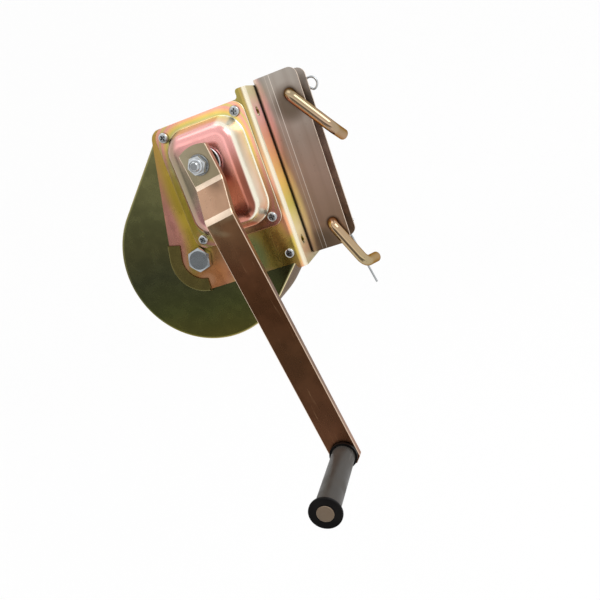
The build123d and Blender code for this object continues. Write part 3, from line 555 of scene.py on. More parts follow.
@dataclass(frozen=True)
class DrawnDome(Trim):
    """The drawn dome of a cover with painted light: painted shade on the shoulder, a painted highlight
    on the wall towards +X and painted shade on the wall towards -X.
    """

    crown: Band = (-0.074, -0.066)
    top: Band = (0.66, 0.80)
    # painted shade on the shoulder, where the top begins to lean towards +X
    shoulder_shade: Colour = (0.21, 0.065, 0.04)
    shoulder_share: float = 0.94
    begun: Band = (0.970, 0.9998)
    bearing: Band = (0.3, 0.9)
    low_down: Band = (0.0, 0.065)
    upper_share: float = 0.15
    # painted shade on the wall towards -X
    left_wall_shade: Colour = (0.30, 0.24, 0.16)
    left_share: float = 0.7
    left_turn: Band = (-0.30, -0.04)
    # right: painted highlight on the wall towards +X
    right: Colour = (0.95, 0.92, 0.76)
    right_share: float = 0.95
    right_turn: Band = (0.06, 0.30)

    def high(self, spot: Spot) -> Socket:
        """Returns 1 on the dome and 0 on the flange below it."""
        return spot.wire.span(spot.place["Y"], self.crown, FADE)

    def edges(self, spot: Spot, wear_and_highlight: Socket) -> Socket:
        """Returns the painted highlight on the bent edges of the dome alone."""
        return spot.wire.times(wear_and_highlight, self.high(spot))

    def lay(self, spot: Spot, under: Socket) -> Socket:
        """Mixes the painted shade of the shoulder and of the left wall, and the painted highlight of the
        right wall, over a colour.

        The bearing is the X share of the way that the surface leans, x / sqrt(1 - y ** 2), with a hair
        more than 1 so that the root stays above zero on the flat top.

        Args:
            spot: the place on the piece.
            under: the colour below.

        Returns:
            The mixed colour.
        """
        wire = spot.wire
        high = self.high(spot)
        top = wire.span(spot.flat, self.top)
        # painted shade on the shoulder, strongest low down
        begun = wire.span(spot.flat, self.begun, (self.shoulder_share, 0.0))
        lean = wire.math("SQRT", wire.math("SUBTRACT", JUST_OVER_ONE, wire.times(spot.flat, spot.flat)))
        bearing = wire.span(wire.math("DIVIDE", spot.facing["X"], lean), self.bearing)
        low_down = wire.span(spot.place["Z"], self.low_down, (1.0, self.upper_share))
        shaded = wire.mix(wire.times(begun, high, bearing, low_down, top), under, self.shoulder_shade)
        # painted shade on the wall towards -X
        left_shade_mask = wire.span(spot.facing["X"], self.left_turn, (self.left_share, 0.0))
        shaded = wire.mix(left_shade_mask, shaded, self.left_wall_shade)
        # painted highlight on the wall towards +X, off the flat top
        right_highlight_mask = wire.span(spot.facing["X"], self.right_turn, (0.0, self.right_share))
        return wire.mix(wire.times(right_highlight_mask, wire.rest(wire.times(top, high))), shaded, self.right)


@dataclass(frozen=True)
class HookedLip(Trim):
    """The lip of a drum guard, which lies over the side plate and keeps an olive film."""

    colour: Colour = (0.22, 0.175, 0.055)
    share: float = 0.9
    proud: Band = (0.0552, 0.0562)
    level: Band = (0.90, 0.98)

    def lay(self, spot: Spot, under: Socket) -> Socket:
        """Mixes the lip's film over a colour.

        Args:
            spot: the place on the piece.
            under: the colour below.

        Returns:
            The mixed colour.
        """
        wire = spot.wire
        proud = wire.span(wire.math("ABSOLUTE", spot.place["Y"]), self.proud, (0.0, self.share))
        return wire.mix(wire.times(proud, wire.span(spot.flat, self.level)), under, self.colour)


@dataclass(frozen=True)
class RolledChannel(Trim):
    """Two scribed lines along a channel, each with its place in X and its share, and a rounded bend."""

    scribes: tuple[tuple[float, float], ...] = ((-0.0158, 0.8), (-0.0205, 0.32))
    scribe: Colour = (0.95, 0.86, 0.78)
    scribe_width: Band = (0.0001, 0.0004)
    curl: float = 11.0
    curl_at: float = -0.022
    curl_reach: float = 0.011
    curl_matt: float = 0.95

    def lay(self, spot: Spot, under: Socket) -> Socket:
        """Draws the scribed lines over a colour.

        Args:
            spot: the place on the piece.
            under: the colour below.

        Returns:
            The mixed colour.
        """
        wire = spot.wire
        for place, share in self.scribes:
            gap = wire.math("ABSOLUTE", wire.math("SUBTRACT", spot.place["X"], place))
            under = wire.mix(wire.span(gap, self.scribe_width, (share, 0.0)), under, self.scribe)
        return under

    def matt(self, spot: Spot, matt: Socket | None) -> Socket | None:
        """Returns the matt share of the bend."""
        band = (self.curl_at - self.curl_reach, self.curl_at)
        return spot.wire.span(spot.place["X"], band, (self.curl_matt, 0.0))

    def rise(self, spot: Spot, height: Socket) -> Socket:
        """Lets the surface fall away behind the bend's start, by curl * distance ** 2.

        Args:
            spot: the place on the piece.
            height: the height so far.

        Returns:
            The height with the fall.
        """
        wire = spot.wire
        beyond = wire.math("MAXIMUM", wire.math("SUBTRACT", self.curl_at, spot.place["X"]), 0.0)
        return wire.math("ADD", height, wire.times(beyond, beyond, -self.curl))


@dataclass(frozen=True)
class CrankedBar(Trim):
    """Painted highlights on the two bends of a cranked bar and a painted lighter tone on the slope
    between them, found from its normals.
    """

    # bend: painted highlight on the two bends; the slope colour below is a painted lighter tone where
    # the slope faces the light
    bend: Colour = (1.0, 0.80, 0.62)
    bend_highlight_share: float = 0.9
    bend_matt: float = 0.8
    slope_light: Colour = (0.52, 0.32, 0.21)
    front: Band = (0.70, 0.80)
    risen: Band = (0.015, 0.06)
    fallen: Band = (0.525, 0.552)

    def masks(self, spot: Spot) -> tuple[Socket, Socket]:
        """Finds the bends and the slope.

        Args:
            spot: the place on the piece.

        Returns:
            A mask of the bends and a mask of the slope.
        """
        wire = spot.wire
        front = wire.span(spot.flat, self.front)
        risen = wire.span(spot.facing["Z"], self.risen)
        fallen = wire.span(spot.facing["Z"], self.fallen)
        return wire.times(risen, wire.rest(fallen), front), wire.times(fallen, front)

    def lay(self, spot: Spot, under: Socket) -> Socket:
        """Mixes the painted lighter tone of the slope and the painted highlights of the bends over a
        colour.

        Args:
            spot: the place on the piece.
            under: the colour below.

        Returns:
            The mixed colour.
        """
        bend_highlight_mask, slope_light_mask = self.masks(spot)
        return spot.wire.cover(under, (slope_light_mask, 1.0, self.slope_light), (bend_highlight_mask, self.bend_highlight_share, self.bend))

    def matt(self, spot: Spot, matt: Socket | None) -> Socket | None:
        """Returns the matt share of the bends."""
        return spot.wire.times(self.masks(spot)[0], self.bend_matt)


@dataclass(frozen=True)
class PassivatedZinc:
    """Zinc plate under a chromate film whose colour runs through gold, rose and olive bands."""

    name: str
    stops: tuple[Stop, ...]
    direction: Point
    gain: float
    offset: float
    centre: Point = (0.0, 0.0, 0.0)
    spread: Point = (10.0, 10.0, 10.0)
    ring: float = 0.0
    ring_start: float = 0.0
    cloud: float = 0.25
    cloud_scale: float = 14.0
    seed: float = 0.0
    patches: tuple[Patch, ...] = ()
    trim: Trim = Trim()
    # painted highlight on faces that turn away from Y (bends, fillets and rims): its colour, its share
    # and the bands of the normal that it covers
    edge_highlight: Colour = (0.86, 0.72, 0.50)
    edge_share: float = 0.7
    edge_from: float = 0.90
    edge_full: float = 0.45
    rim_share: float = 1.0
    rim_band: Band = (0.05, 0.30)
    edge_rough: float = 0.0
    edge_matt: float = 0.0
    matt_band: Band = (0.2, 0.6)
    # painted shade where surfaces meet (ambient occlusion): its share, its reach and its colour
    painted_shade: float = 0.8
    shade_reach: float = 0.005
    shade_colour: Colour = (0.03, 0.015, 0.008)
    speck: float = 0.3
    speck_scale: float = 240.0
    speck_density: float = 0.42
    pit: Colour = (0.12, 0.09, 0.06)
    roughness: float = 0.22
    smudge: float = 0.08
    scuff: float = 0.06
    grazing: Colour = WHITE
    grain_axis: Point = (1.0, 1.0, 0.03)
    grain_scale: float = 700.0
    grain_turn: float = 0.0
    grain_height: float = 0.02 * MM
    grain_strength: float = 0.35
    scratch: float = 0.15
    scratch_colour: Colour = (0.86, 0.74, 0.62)
    wipe: float = 0.12
    wipe_colour: Colour = (0.30, 0.20, 0.13)
    crown: float = 0.0
    crown_at: tuple[float, float] = (0.0, 0.0)
    wave: float = 0.0
    wave_scale: float = 9.0
    anisotropy: float = 0.0

    def tint(self, spot: Spot, effects: Effects) -> Socket:
        """Builds the film colour with its stains and painted patches, a painted highlight on its bent
        edges and rims, and its trim.

        Args:
            spot: the place on the piece.
            effects: the shared groups.

        Returns:
            The colour.
        """
        wire = spot.wire
        film = wire.use_group(
            effects.film, Direction=self.direction, Gain=self.gain, Offset=self.offset,
            Centre=self.centre, Spread=self.spread, Ring=self.ring, Ring_Start=self.ring_start,
            Cloud=self.cloud, Cloud_Scale=self.cloud_scale, Seed=self.seed)
        colour = wire.ramp(film["Film"], self.stops)
        for each_patch in self.patches:
            colour = each_patch.lay(spot, colour)
        # painted highlight where the face turns away from Y: bends, fillets and rims
        turned = wire.span(spot.flat, (self.edge_full, self.edge_from), (self.edge_share, 0.0))
        wear_and_highlight = wire.times(turned, wire.span(spot.flat, self.rim_band, (self.rim_share, 1.0)))
        return self.trim.lay(spot, wire.mix(self.trim.edges(spot, wear_and_highlight), colour, self.edge_highlight))

    def relief(self, spot: Spot, grain: Socket) -> Socket:
        """Builds the normal: a slow crown or wave under the fine grain.

        The crown falls away from its middle by crown * distance ** 2.

        Args:
            spot: the place on the piece.
            grain: the height of the fine grain.

        Returns:
            The normal.
        """
        wire = spot.wire
        slow = wire.noise(wire.coordinate("Object"), self.wave_scale, Detail=1.0)
        height = wire.times(slow, self.wave)
        for axis, middle_at in zip(("X", "Z"), self.crown_at):
            offset = wire.math("SUBTRACT", spot.place[axis], middle_at)
            height = wire.math("ADD", height, wire.times(offset, offset, -self.crown))
        form = wire.bump(self.trim.rise(spot, height), strength=1.0, distance=1.0)
        return wire.bump(grain, self.grain_strength, self.grain_height, Normal=form)

    def sheen(self, spot: Spot, brush: Outputs, speck: Outputs) -> tuple[Socket, Socket | float]:
        """Builds the roughness and the metallic share.

        Args:
            spot: the place on the piece.
            brush: the outputs of the grain.
            speck: the outputs of the handling marks.

        Returns:
            The roughness, and the share that shines as bare metal.
        """
        wire = spot.wire
        dulled = wire.times(speck["Smudge"], self.smudge)
        scuffed = wire.times(brush["Wipe"], self.scuff)
        rough = wire.math("ADD", wire.math("ADD", dulled, scuffed), self.roughness)
        matt = None
        if self.edge_rough:
            side = wire.span(spot.flat, self.matt_band, FADE)
            rough = wire.math("ADD", rough, wire.times(side, self.edge_rough))
            matt = wire.times(side, self.edge_matt)
        matt = self.trim.matt(spot, matt)
        return rough, 1.0 if matt is None else wire.rest(matt)

    def material(self, effects: Effects) -> bpy.types.Material:
        """Builds the node tree.

        Args:
            effects: the shared groups.

        Returns:
            The material.
        """
        made, wire, shader = new_material(self.name)
        spot = Spot.on(wire)
        brush = wire.use_group(effects.brush, Stretch=self.grain_axis, Scale=self.grain_scale,
                               Turn=self.grain_turn)
        speck = wire.use_group(effects.speck, Scale=self.speck_scale, Density=self.speck_density)
        # painted shade where surfaces meet, found by ambient occlusion and laid as the last coat
        crevice = wire.use_group(effects.crevice, Reach=self.shade_reach)
        colour = wire.cover(
            self.tint(spot, effects), (brush["Wipe"], self.wipe, self.wipe_colour),
            (brush["Scratch"], self.scratch, self.scratch_colour),
            (speck["Speck"], self.speck, self.pit), (crevice["Dirt"], self.painted_shade, self.shade_colour))
        rough, metal = self.sheen(spot, brush, speck)
        wire.fill(shader, Base_Color=colour, Metallic=metal, Roughness=rough,
                  Anisotropic=self.anisotropy, Specular_Tint=self.grazing,
                  Normal=self.relief(spot, brush["Height"]))
        return made


@dataclass(frozen=True)
class Plain:
    """A finish of one colour that handling has rubbed and scored."""

    name: str
    colour: Colour
    # the colour of rubbed and scored wear
    wear_and_highlight: Colour
    roughness: float
    grain_axis: Point = (1.0, 0.06, 1.0)
    grain_scale: float = 600.0
    grain_height: float = 0.03 * MM
    grain_strength: float = 0.25
    speck_scale: float = 400.0
    rub: float = 0.35
    mark: float = 0.25
    swing: float = 0.18
    metal: float = 0.0
    shine: float = 0.5

    def marks(self, wire: Wire, effects: Effects, brush: Outputs, speck: Outputs) -> Socket:
        """Builds the colour with its marks.

        Args:
            wire: the material's tree.
            effects: the shared groups, not used here.
            brush: the outputs of the grain.
            speck: the outputs of the handling marks.

        Returns:
            The colour.
        """
        return wire.cover(self.colour, (speck["Smudge"], self.rub, self.wear_and_highlight),
                          (brush["Scratch"], self.mark, self.wear_and_highlight))

    def material(self, effects: Effects) -> bpy.types.Material:
        """Builds the node tree.

        Args:
            effects: the shared groups.

        Returns:
            The material.
        """
        made, wire, shader = new_material(self.name)
        brush = wire.use_group(effects.brush, Stretch=self.grain_axis, Scale=self.grain_scale)
        speck = wire.use_group(effects.speck, Scale=self.speck_scale)
        rough = wire.math("MULTIPLY_ADD", speck["Smudge"], self.swing, self.roughness)
        normal = wire.bump(brush["Height"], self.grain_strength, self.grain_height)
        wire.fill(shader, Base_Color=self.marks(wire, effects, brush, speck), Metallic=self.metal,
                  Specular_IOR_Level=self.shine, Roughness=rough, Normal=normal)
        return made


@dataclass(frozen=True)
class Moulded(Plain):
    """Moulded plastic or friction lining."""


@dataclass(frozen=True)
class PlainMetal(Plain):
    """Bare, oiled or blue-white plated metal with faint turning marks, pits and painted shade where
    surfaces meet.
    """

    grain_axis: Point = (1.0, 0.15, 1.0)
    grain_scale: float = 900.0
    grain_height: float = 0.02 * MM
    grain_strength: float = 0.3
    speck_scale: float = 500.0
    rub: float = 0.5
    swing: float = 0.14
    metal: float = 1.0
    pits: float = 0.4
    pit: Colour = (0.10, 0.09, 0.08)
    # painted shade where surfaces meet (ambient occlusion): its share, its reach and its colour
    painted_shade: float = 0.85
    shade_reach: float = 0.003
    shade_colour: Colour = (0.02, 0.018, 0.015)

    def marks(self, wire: Wire, effects: Effects, brush: Outputs, speck: Outputs) -> Socket:
        """Builds the colour with its marks, pits and painted shade where surfaces meet.

        Args:
            wire: the material's tree.
            effects: the shared groups.
            brush: the outputs of the grain.
            speck: the outputs of the handling marks.

        Returns:
            The colour.
        """
        # painted shade where surfaces meet, found by ambient occlusion
        crevice = wire.use_group(effects.crevice, Reach=self.shade_reach)
        marked = super().marks(wire, effects, brush, speck)
        return wire.cover(marked, (speck["Speck"], self.pits, self.pit),
                          (crevice["Dirt"], self.painted_shade, self.shade_colour))


SHEET_BANDS: tuple[Stop, ...] = (
    (0.00, (0.80, 0.36, 0.30)), (0.20, (0.82, 0.40, 0.24)), (0.36, (0.70, 0.44, 0.10)),
    (0.50, (0.44, 0.42, 0.09)), (0.64, (0.40, 0.22, 0.07)), (0.78, (0.52, 0.24, 0.10)),
    (0.90, (0.76, 0.36, 0.24)), (1.00, (0.78, 0.48, 0.20)))
COVER_BANDS: tuple[Stop, ...] = (
    (0.00, (0.90, 0.45, 0.48)), (0.38, (0.88, 0.42, 0.38)), (0.48, (0.84, 0.50, 0.36)),
    (0.60, (0.62, 0.58, 0.20)), (0.70, (0.84, 0.60, 0.16)), (0.80, (0.92, 0.50, 0.26)),
    (0.90, (0.88, 0.40, 0.34)), (1.00, (0.66, 0.56, 0.18)))
GUARD_BANDS: tuple[Stop, ...] = (
    (0.00, (0.32, 0.30, 0.13)), (0.42, (0.19, 0.19, 0.08)), (0.56, (0.15, 0.145, 0.06)),
    (0.68, (0.10, 0.105, 0.050)), (0.84, (0.13, 0.14, 0.045)), (1.00, (0.22, 0.19, 0.045)))
BAR_BANDS: tuple[Stop, ...] = (
    (0.00, (0.53, 0.46, 0.31)), (0.14, (0.50, 0.42, 0.26)), (0.20, (0.27, 0.14, 0.07)),
    (0.30, (0.20, 0.085, 0.041)), (0.45, (0.15, 0.063, 0.028)), (0.64, (0.185, 0.085, 0.040)),
    (0.80, (0.23, 0.10, 0.05)), (0.92, (0.36, 0.155, 0.08)), (1.00, (0.38, 0.165, 0.085)))
CHANNEL_BANDS: tuple[Stop, ...] = (
    (0.00, (0.44, 0.40, 0.36)), (0.35, (0.36, 0.27, 0.22)), (0.60, (0.40, 0.27, 0.21)),
    (0.85, (0.34, 0.22, 0.15)), (1.00, (0.22, 0.15, 0.10)))
ROD_BANDS: tuple[Stop, ...] = (
    (0.00, (0.52, 0.33, 0.22)), (0.35, (0.44, 0.35, 0.20)), (0.60, (0.50, 0.33, 0.23)),
    (0.85, (0.34, 0.29, 0.17)), (1.00, (0.52, 0.36, 0.27)))
SHEET_STAINS = (
    Patch((-0.047, 0.06), (0.016, 0.05), (0.46, 0.44, 0.12), 0.6),
    Patch((-0.146, 0.002), (0.020, 0.085), (0.66, 0.48, 0.05), 0.95),
    Patch((-0.172, -0.030), (0.012, 0.060), (0.74, 0.32, 0.26), 0.8),
    Patch((-0.146, -0.085), (0.034, 0.022), (0.78, 0.31, 0.12), 0.85),
    Patch((-0.062, -0.070), (0.046, 0.044), (0.62, 0.48, 0.10), 1.0),
    Patch((-0.090, -0.076), (0.020, 0.030), (0.26, 0.34, 0.13), 0.9),
    Patch((-0.044, -0.052), (0.014, 0.020), (0.88, 0.38, 0.22), 0.9),
    Patch((-0.055, -0.064), (0.013, 0.024), (0.97, 0.62, 0.16), 0.9),
    Patch((-0.152, -0.086), (0.012, 0.010), (0.92, 0.46, 0.24), 0.9),
    Patch((-0.178, 0.015), (0.010, 0.040), (0.96, 0.44, 0.30), 0.8),
    Patch((-0.095, -0.098), (0.030, 0.008), (0.66, 0.42, 0.20), 0.6))
STRIP_BANDS: tuple[Stop, ...] = (
    (0.00, (0.40, 0.34, 0.16)), (0.08, (0.62, 0.38, 0.22)), (0.20, (0.95, 0.80, 0.44)),
    (0.34, (0.72, 0.62, 0.14)), (0.48, (0.96, 0.62, 0.16)), (0.62, (0.94, 0.46, 0.20)),
    (0.74, (0.88, 0.40, 0.26)), (0.86, (0.90, 0.50, 0.48)), (0.96, (0.66, 0.58, 0.34)))
COVER_STAINS = (
    Patch((-0.130, 0.022), (0.028, 0.044), (0.44, 0.41, 0.27), 0.9),
    Patch((-0.070, -0.018), (0.040, 0.064), (0.60, 0.22, 0.14), 0.85),
    Patch((-0.145, -0.005), (0.007, 0.060), (0.64, 0.48, 0.06), 0.95),
    Patch((-0.085, -0.052), (0.034, 0.006), (0.40, 0.22, 0.09), 0.8),
    Patch((-0.050, -0.045), (0.012, 0.014), (0.66, 0.26, 0.22), 0.7))
CHANNEL_PATCHES = (
    # painted shade round the two pin holes
    Patch((0.0, 0.0715), (0.0095, 0.0095), (0.02, 0.015, 0.012), 0.95),
    Patch((0.0, -0.0715), (0.0095, 0.0095), (0.02, 0.015, 0.012), 0.95),
    # darker patches below the two pin holes
    Patch((-0.004, 0.062), (0.022, 0.024), (0.14, 0.10, 0.07), 0.9),
    Patch((-0.018, -0.088), (0.018, 0.020), (0.16, 0.115, 0.075), 0.85),
    # painted highlight along the bend of the channel
    Patch((-0.035, 0.060), (0.012, 0.070), (0.98, 0.62, 0.58), 0.95),
    Patch((-0.035, -0.045), (0.012, 0.080), (0.98, 0.76, 0.44), 0.95))


class Coat(Enum):
    """Every finish on the puller."""

    SHEET = PassivatedZinc(
        "sheet_zinc", SHEET_BANDS, direction=(0.85, 0.0, -0.55), gain=11.0, offset=1.50, cloud=0.22,
        seed=3.0, patches=SHEET_STAINS, trim=CutEdge(STRIP_BANDS), edge_highlight=(0.97, 0.90, 0.70),
        edge_share=0.9, edge_from=0.97, edge_full=0.80, rim_share=0.1, edge_rough=0.25, edge_matt=0.5,
        speck=0.12, shade_reach=0.0045)
    COVER = PassivatedZinc(
        "cover_zinc", COVER_BANDS, direction=(0.6, 0.0, 0.2), gain=1.2, offset=0.34,
        centre=(-0.0955, 0.0, 0.01575), spread=(22.6, 0.0, 16.9), ring=2.4, ring_start=0.90, cloud=0.10,
        cloud_scale=11.0, seed=7.0, patches=COVER_STAINS, trim=DrawnDome(), edge_highlight=(0.86, 0.46, 0.42),
        edge_share=0.75, painted_shade=0.6, roughness=0.19, crown=0.62, crown_at=(-0.092, 0.012), scratch=0.06,
        wipe=0.04, speck=0.2, edge_rough=0.12, edge_matt=0.2, shade_reach=0.003)
    GUARD = PassivatedZinc(
        "guard_zinc", GUARD_BANDS, direction=(0.0, 0.0, -1.0), gain=3.6, offset=0.42, cloud=0.12,
        cloud_scale=9.0, seed=1.0, trim=HookedLip(), edge_highlight=(0.98, 0.84, 0.52), edge_share=0.95,
        rim_share=0.2, grain_axis=(1.0, 1.0, 1.0), scratch=0.02, wipe=0.0, speck=0.05, wave=0.002,
        painted_shade=0.2, smudge=0.02, edge_rough=0.05, edge_matt=0.1, grazing=(0.20, 0.10, 0.06))
    BAR = PassivatedZinc(
        "crank_bar_zinc", BAR_BANDS, direction=(0.0, 0.0, -1.0), gain=2.7, offset=0.14, cloud=0.14,
        cloud_scale=18.0, seed=5.0, trim=CrankedBar(), edge_highlight=(0.95, 0.74, 0.56), edge_share=0.9,
        edge_from=0.97, edge_full=0.90, rim_share=0.08, roughness=0.25, grain_axis=(1.0, 1.0, 0.05),
        grain_scale=280.0, grain_turn=math.radians(7.7), scratch=0.70,
        scratch_colour=(0.66, 0.38, 0.20), wipe=0.34, wipe_colour=(0.12, 0.05, 0.02), anisotropy=0.3)
    CHANNEL = PassivatedZinc(
        "channel_zinc", CHANNEL_BANDS, direction=(0.0, 0.0, -1.0), gain=5.2, offset=0.5, cloud=0.16,
        cloud_scale=12.0, seed=9.0, patches=CHANNEL_PATCHES, trim=RolledChannel(),
        edge_highlight=(0.98, 0.78, 0.60), edge_share=0.8, edge_from=0.98, edge_full=0.75, roughness=0.30,
        grain_axis=(1.0, 1.0, 0.02), grain_scale=800.0, scratch=0.22, scratch_colour=(0.60, 0.48, 0.40),
        wipe=0.25, wipe_colour=(0.16, 0.10, 0.07), anisotropy=0.45, painted_shade=0.9, shade_reach=0.006)
    ROD = PassivatedZinc(
        "pin_rod_zinc", ROD_BANDS, direction=(0.7, 0.3, 0.7), gain=9.0, offset=0.4, cloud=0.2,
        cloud_scale=20.0, seed=2.0, edge_share=0.0, roughness=0.06, scratch=0.06, wipe=0.05,
        smudge=0.04, grazing=(0.42, 0.27, 0.16))
    INNER = PassivatedZinc(
        "drum_zinc", SHEET_BANDS, direction=(0.0, 1.0, 0.4), gain=5.0, offset=0.4, cloud=0.3, seed=4.0,
        roughness=0.26)
    BRIGHT = PlainMetal("blue_white_zinc", (0.52, 0.54, 0.55), (0.28, 0.29, 0.30), 0.18)
    HEAD = PlainMetal("bolt_head_zinc", (0.40, 0.43, 0.45), (0.16, 0.18, 0.19), 0.20, mark=0.6)
    BRONZE = PlainMetal("sintered_bronze", (0.55, 0.36, 0.17), (0.36, 0.22, 0.10), 0.38)
    STEEL = PlainMetal("oiled_steel", (0.30, 0.29, 0.28), (0.17, 0.16, 0.15), 0.30)
    RIVET = PlainMetal("rivet_face", (0.34, 0.26, 0.19), (0.22, 0.16, 0.11), 0.34)
    GRIP = Moulded("grip_sleeve", (0.050, 0.044, 0.038), (0.22, 0.195, 0.17), 0.36,
                   grain_scale=230.0, shine=0.26, mark=0.9, rub=0.08)
    COLLAR = Moulded("black_collar", (0.003, 0.0025, 0.0025), (0.008, 0.007, 0.006), 0.36, shine=0.12)
    LINING = Moulded("friction_lining", (0.09, 0.07, 0.05), (0.16, 0.13, 0.10), 0.75)
    NYLON = Moulded("nylon_ring", (0.62, 0.66, 0.70), (0.45, 0.48, 0.50), 0.45)


class Paintbox:
    """Builds each finish once and hands it out."""

    def __init__(self) -> None:
        """Starts with the shared groups and no materials."""
        self.effects = Effects()
        self.made: dict[Coat, bpy.types.Material] = {}

    def get(self, coat: Coat) -> bpy.types.Material:
        """Finds or builds the material of a coat.

        Args:
            coat: the finish.

        Returns:
            The material.
        """
        if coat not in self.made:
            self.made[coat] = coat.value.material(self.effects)
        return self.made[coat]

    def dress(self, coat: Coat, *nodes: str) -> None:
        """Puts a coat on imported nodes.

        Args:
            coat: the finish.
            nodes: the nodes' names.
        """
        for node in nodes:
            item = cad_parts[node]
            item.data.materials.clear()
            item.data.materials.append(self.get(coat))
            LOG.info("%s wears %s", node, coat.value.name)


# ---------------------------------------------------------------- surfaces
def add_object(name: str, data: bpy.types.ID) -> bpy.types.Object:
    """Makes an object and links it to the scene.

    Args:
        name: the object's name.
        data: its mesh, lamp or camera.

    Returns:
        The object.
    """
    made = bpy.data.objects.new(name, data)
    bpy.context.scene.collection.objects.link(made)
    return made


def surface(name: str, points: np.ndarray, closed: bool = False) -> bpy.types.Object:
    """Makes a mesh from a grid of points, with a quad between each four neighbours.

    Args:
        name: the object's name.
        points: an array of rows, columns and three coordinates.
        closed: joins the last row to the first and the last column to the first.

    Returns:
        The object, linked to the scene.
    """
    rows, columns = points.shape[:2]
    index = np.arange(rows * columns).reshape(rows, columns)
    if closed:
        index = np.pad(index, ((0, 1), (0, 1)), mode="wrap")
    quads = np.stack((index[:-1, :-1], index[:-1, 1:], index[1:, 1:], index[1:, :-1]), axis=-1)
    mesh = bpy.data.meshes.new(name)
    mesh.from_pydata(points.reshape(-1, 3).tolist(), [], quads.reshape(-1, 4).tolist())
    mesh.shade_smooth()
    mesh.update()
    return add_object(name, mesh)


@dataclass
class Thread:
    """A screw thread drawn round an existing plain shank along Y."""

    name: str
    start: Point
    radius: float
    pitch: float
    length: float
    height: float = 0.35 * MM
    sink: float = 0.02 * MM
    flank: float = 0.9
    steps: int = 28
    profile: int = 7

    def build(self) -> bpy.types.Object:
        """Builds the ridge.

        The surface is a helix of radius r(v) = radius - sink + height * (1 + cos(2 pi v)) / 2, where u
        is the turn in full circles and v runs over one pitch. Its place along the shank is
        pitch * (u + flank * v), cut off at both ends of the length.

        Returns:
            The ridge.
        """
        turns = self.length / self.pitch
        u = np.linspace(0.0, turns, int(turns * self.steps) + 1)[:, None]
        v = np.linspace(-0.5, 0.5, self.profile)[None, :]
        radius = self.radius - self.sink + self.height * (np.cos(2 * np.pi * v) * 0.5 + 0.5)
        angle = 2 * np.pi * u
        along = np.clip(self.pitch * (u + v * self.flank), 0.0, self.length)
        points = np.stack((radius * np.cos(angle), along, radius * np.sin(angle)), axis=-1)
        return surface(self.name, points + np.array(self.start))


@dataclass
class Ring:
    """A ring swept from a rounded profile about an axis along Y."""

    name: str
    centre: Point
    radius: float
    half_width: float
    half_depth: float
    power: float = 3.0
    steps: int = 64
    profile: int = 20

    def build(self) -> bpy.types.Object:
        """Builds the ring.

        The profile is a superellipse, |x / half_width| ** power + |y / half_depth| ** power = 1, and it
        is carried round a circle of the given radius.

        Returns:
            The ring.
        """
        u = np.linspace(0.0, 2 * np.pi, self.steps, endpoint=False)[:, None]
        v = np.linspace(0.0, 2 * np.pi, self.profile, endpoint=False)[None, :]
        power = 2.0 / self.power
        radius = self.radius + np.sign(np.cos(v)) * np.abs(np.cos(v)) ** power * self.half_width
        deep = np.sign(np.sin(v)) * np.abs(np.sin(v)) ** power * self.half_depth
        around = np.broadcast_arrays(radius * np.cos(u), deep, radius * np.sin(u))
        return surface(self.name, np.stack(around, axis=-1) + np.array(self.centre), closed=True)


def middle(node: str) -> np.ndarray:
    """Returns the centre of a node's box."""
    low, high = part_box(node)
    return (np.array(low) + np.array(high)) / 2


def finish_piece(item: bpy.types.Object, paint: Paintbox, coat: Coat, body: str) -> None:
    """Dresses a new piece and hangs it on its body.

    Args:
        item: the piece.
        paint: the finishes.
        coat: the piece's finish.
        body: the body that it moves with.
    """
    item.data.materials.append(paint.get(coat))
    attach(item, body)
    LOG.info("%s rides on %s", item.name, body)


# ---------------------------------------------------------------- sub-assemblies
@dataclass
class FrameAssembly:
    """The bent frame, the leg channel and what bolts them together."""

    fixings: tuple[str, ...] = ("channel_bolts", "channel_nuts", "guard_screws")

    def build(self, paint: Paintbox) -> None:
        """Dresses the nodes.

        Args:
            paint: the finishes.
        """
        paint.dress(Coat.SHEET, "frame")
        paint.dress(Coat.CHANNEL, "leg_channel")
        paint.dress(Coat.BRIGHT, *self.fixings)


@dataclass
class BrakeCover:
    """The stamped cover, its screws and the brake stack under it."""

    linings: tuple[str, ...] = ("inner_friction_disc", "outer_friction_disc")
    works: tuple[str, ...] = ("ratchet_wheel", "pawl", "pawl_pin", "pawl_spring", "pinion_shaft",
                              "shaft_circlip")
    bushes: tuple[str, ...] = ("near_bush", "far_bush")

    def build(self, paint: Paintbox) -> None:
        """Dresses the cover and the parts of the load brake.

        Args:
            paint: the finishes.
        """
        paint.dress(Coat.COVER, "gear_cover")
        paint.dress(Coat.BRIGHT, "cover_screws")
        paint.dress(Coat.LINING, *self.linings)
        paint.dress(Coat.STEEL, *self.works)
        paint.dress(Coat.BRONZE, *self.bushes)


@dataclass
class Drum:
    """The drum, its gear, its guard and its axle."""

    thread_pitch: float = 2.0 * MM
    thread_radius: float = 8.0 * MM
    thread_stop: float = 0.3 * MM

    def build(self, paint: Paintbox) -> None:
        """Dresses the nodes and cuts the thread on the far end of the axle bolt.

        Args:
            paint: the finishes.
        """
        paint.dress(Coat.GUARD, "near_guard", "far_guard")
        paint.dress(Coat.INNER, "drum_gear", "drum_barrel", "far_flange", "drum_hub")
        paint.dress(Coat.BRIGHT, "axle_washer", "axle_nut", "rope_clamp", "clamp_screws")
        paint.dress(Coat.HEAD, "axle_bolt")
        paint.dress(Coat.BRONZE, "drum_bushes")
        paint.dress(Coat.STEEL, "axle_spacer")
        nut_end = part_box("axle_nut")[1].y
        bolt_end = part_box("axle_bolt")[1].y
        centre = middle("axle_nut")
        thread = Thread("axle_bolt_thread", (centre[0], nut_end, centre[2]), self.thread_radius,
                        self.thread_pitch, bolt_end - nut_end - self.thread_stop)
        finish_piece(thread.build(), paint, Coat.BRIGHT, "frame_body")


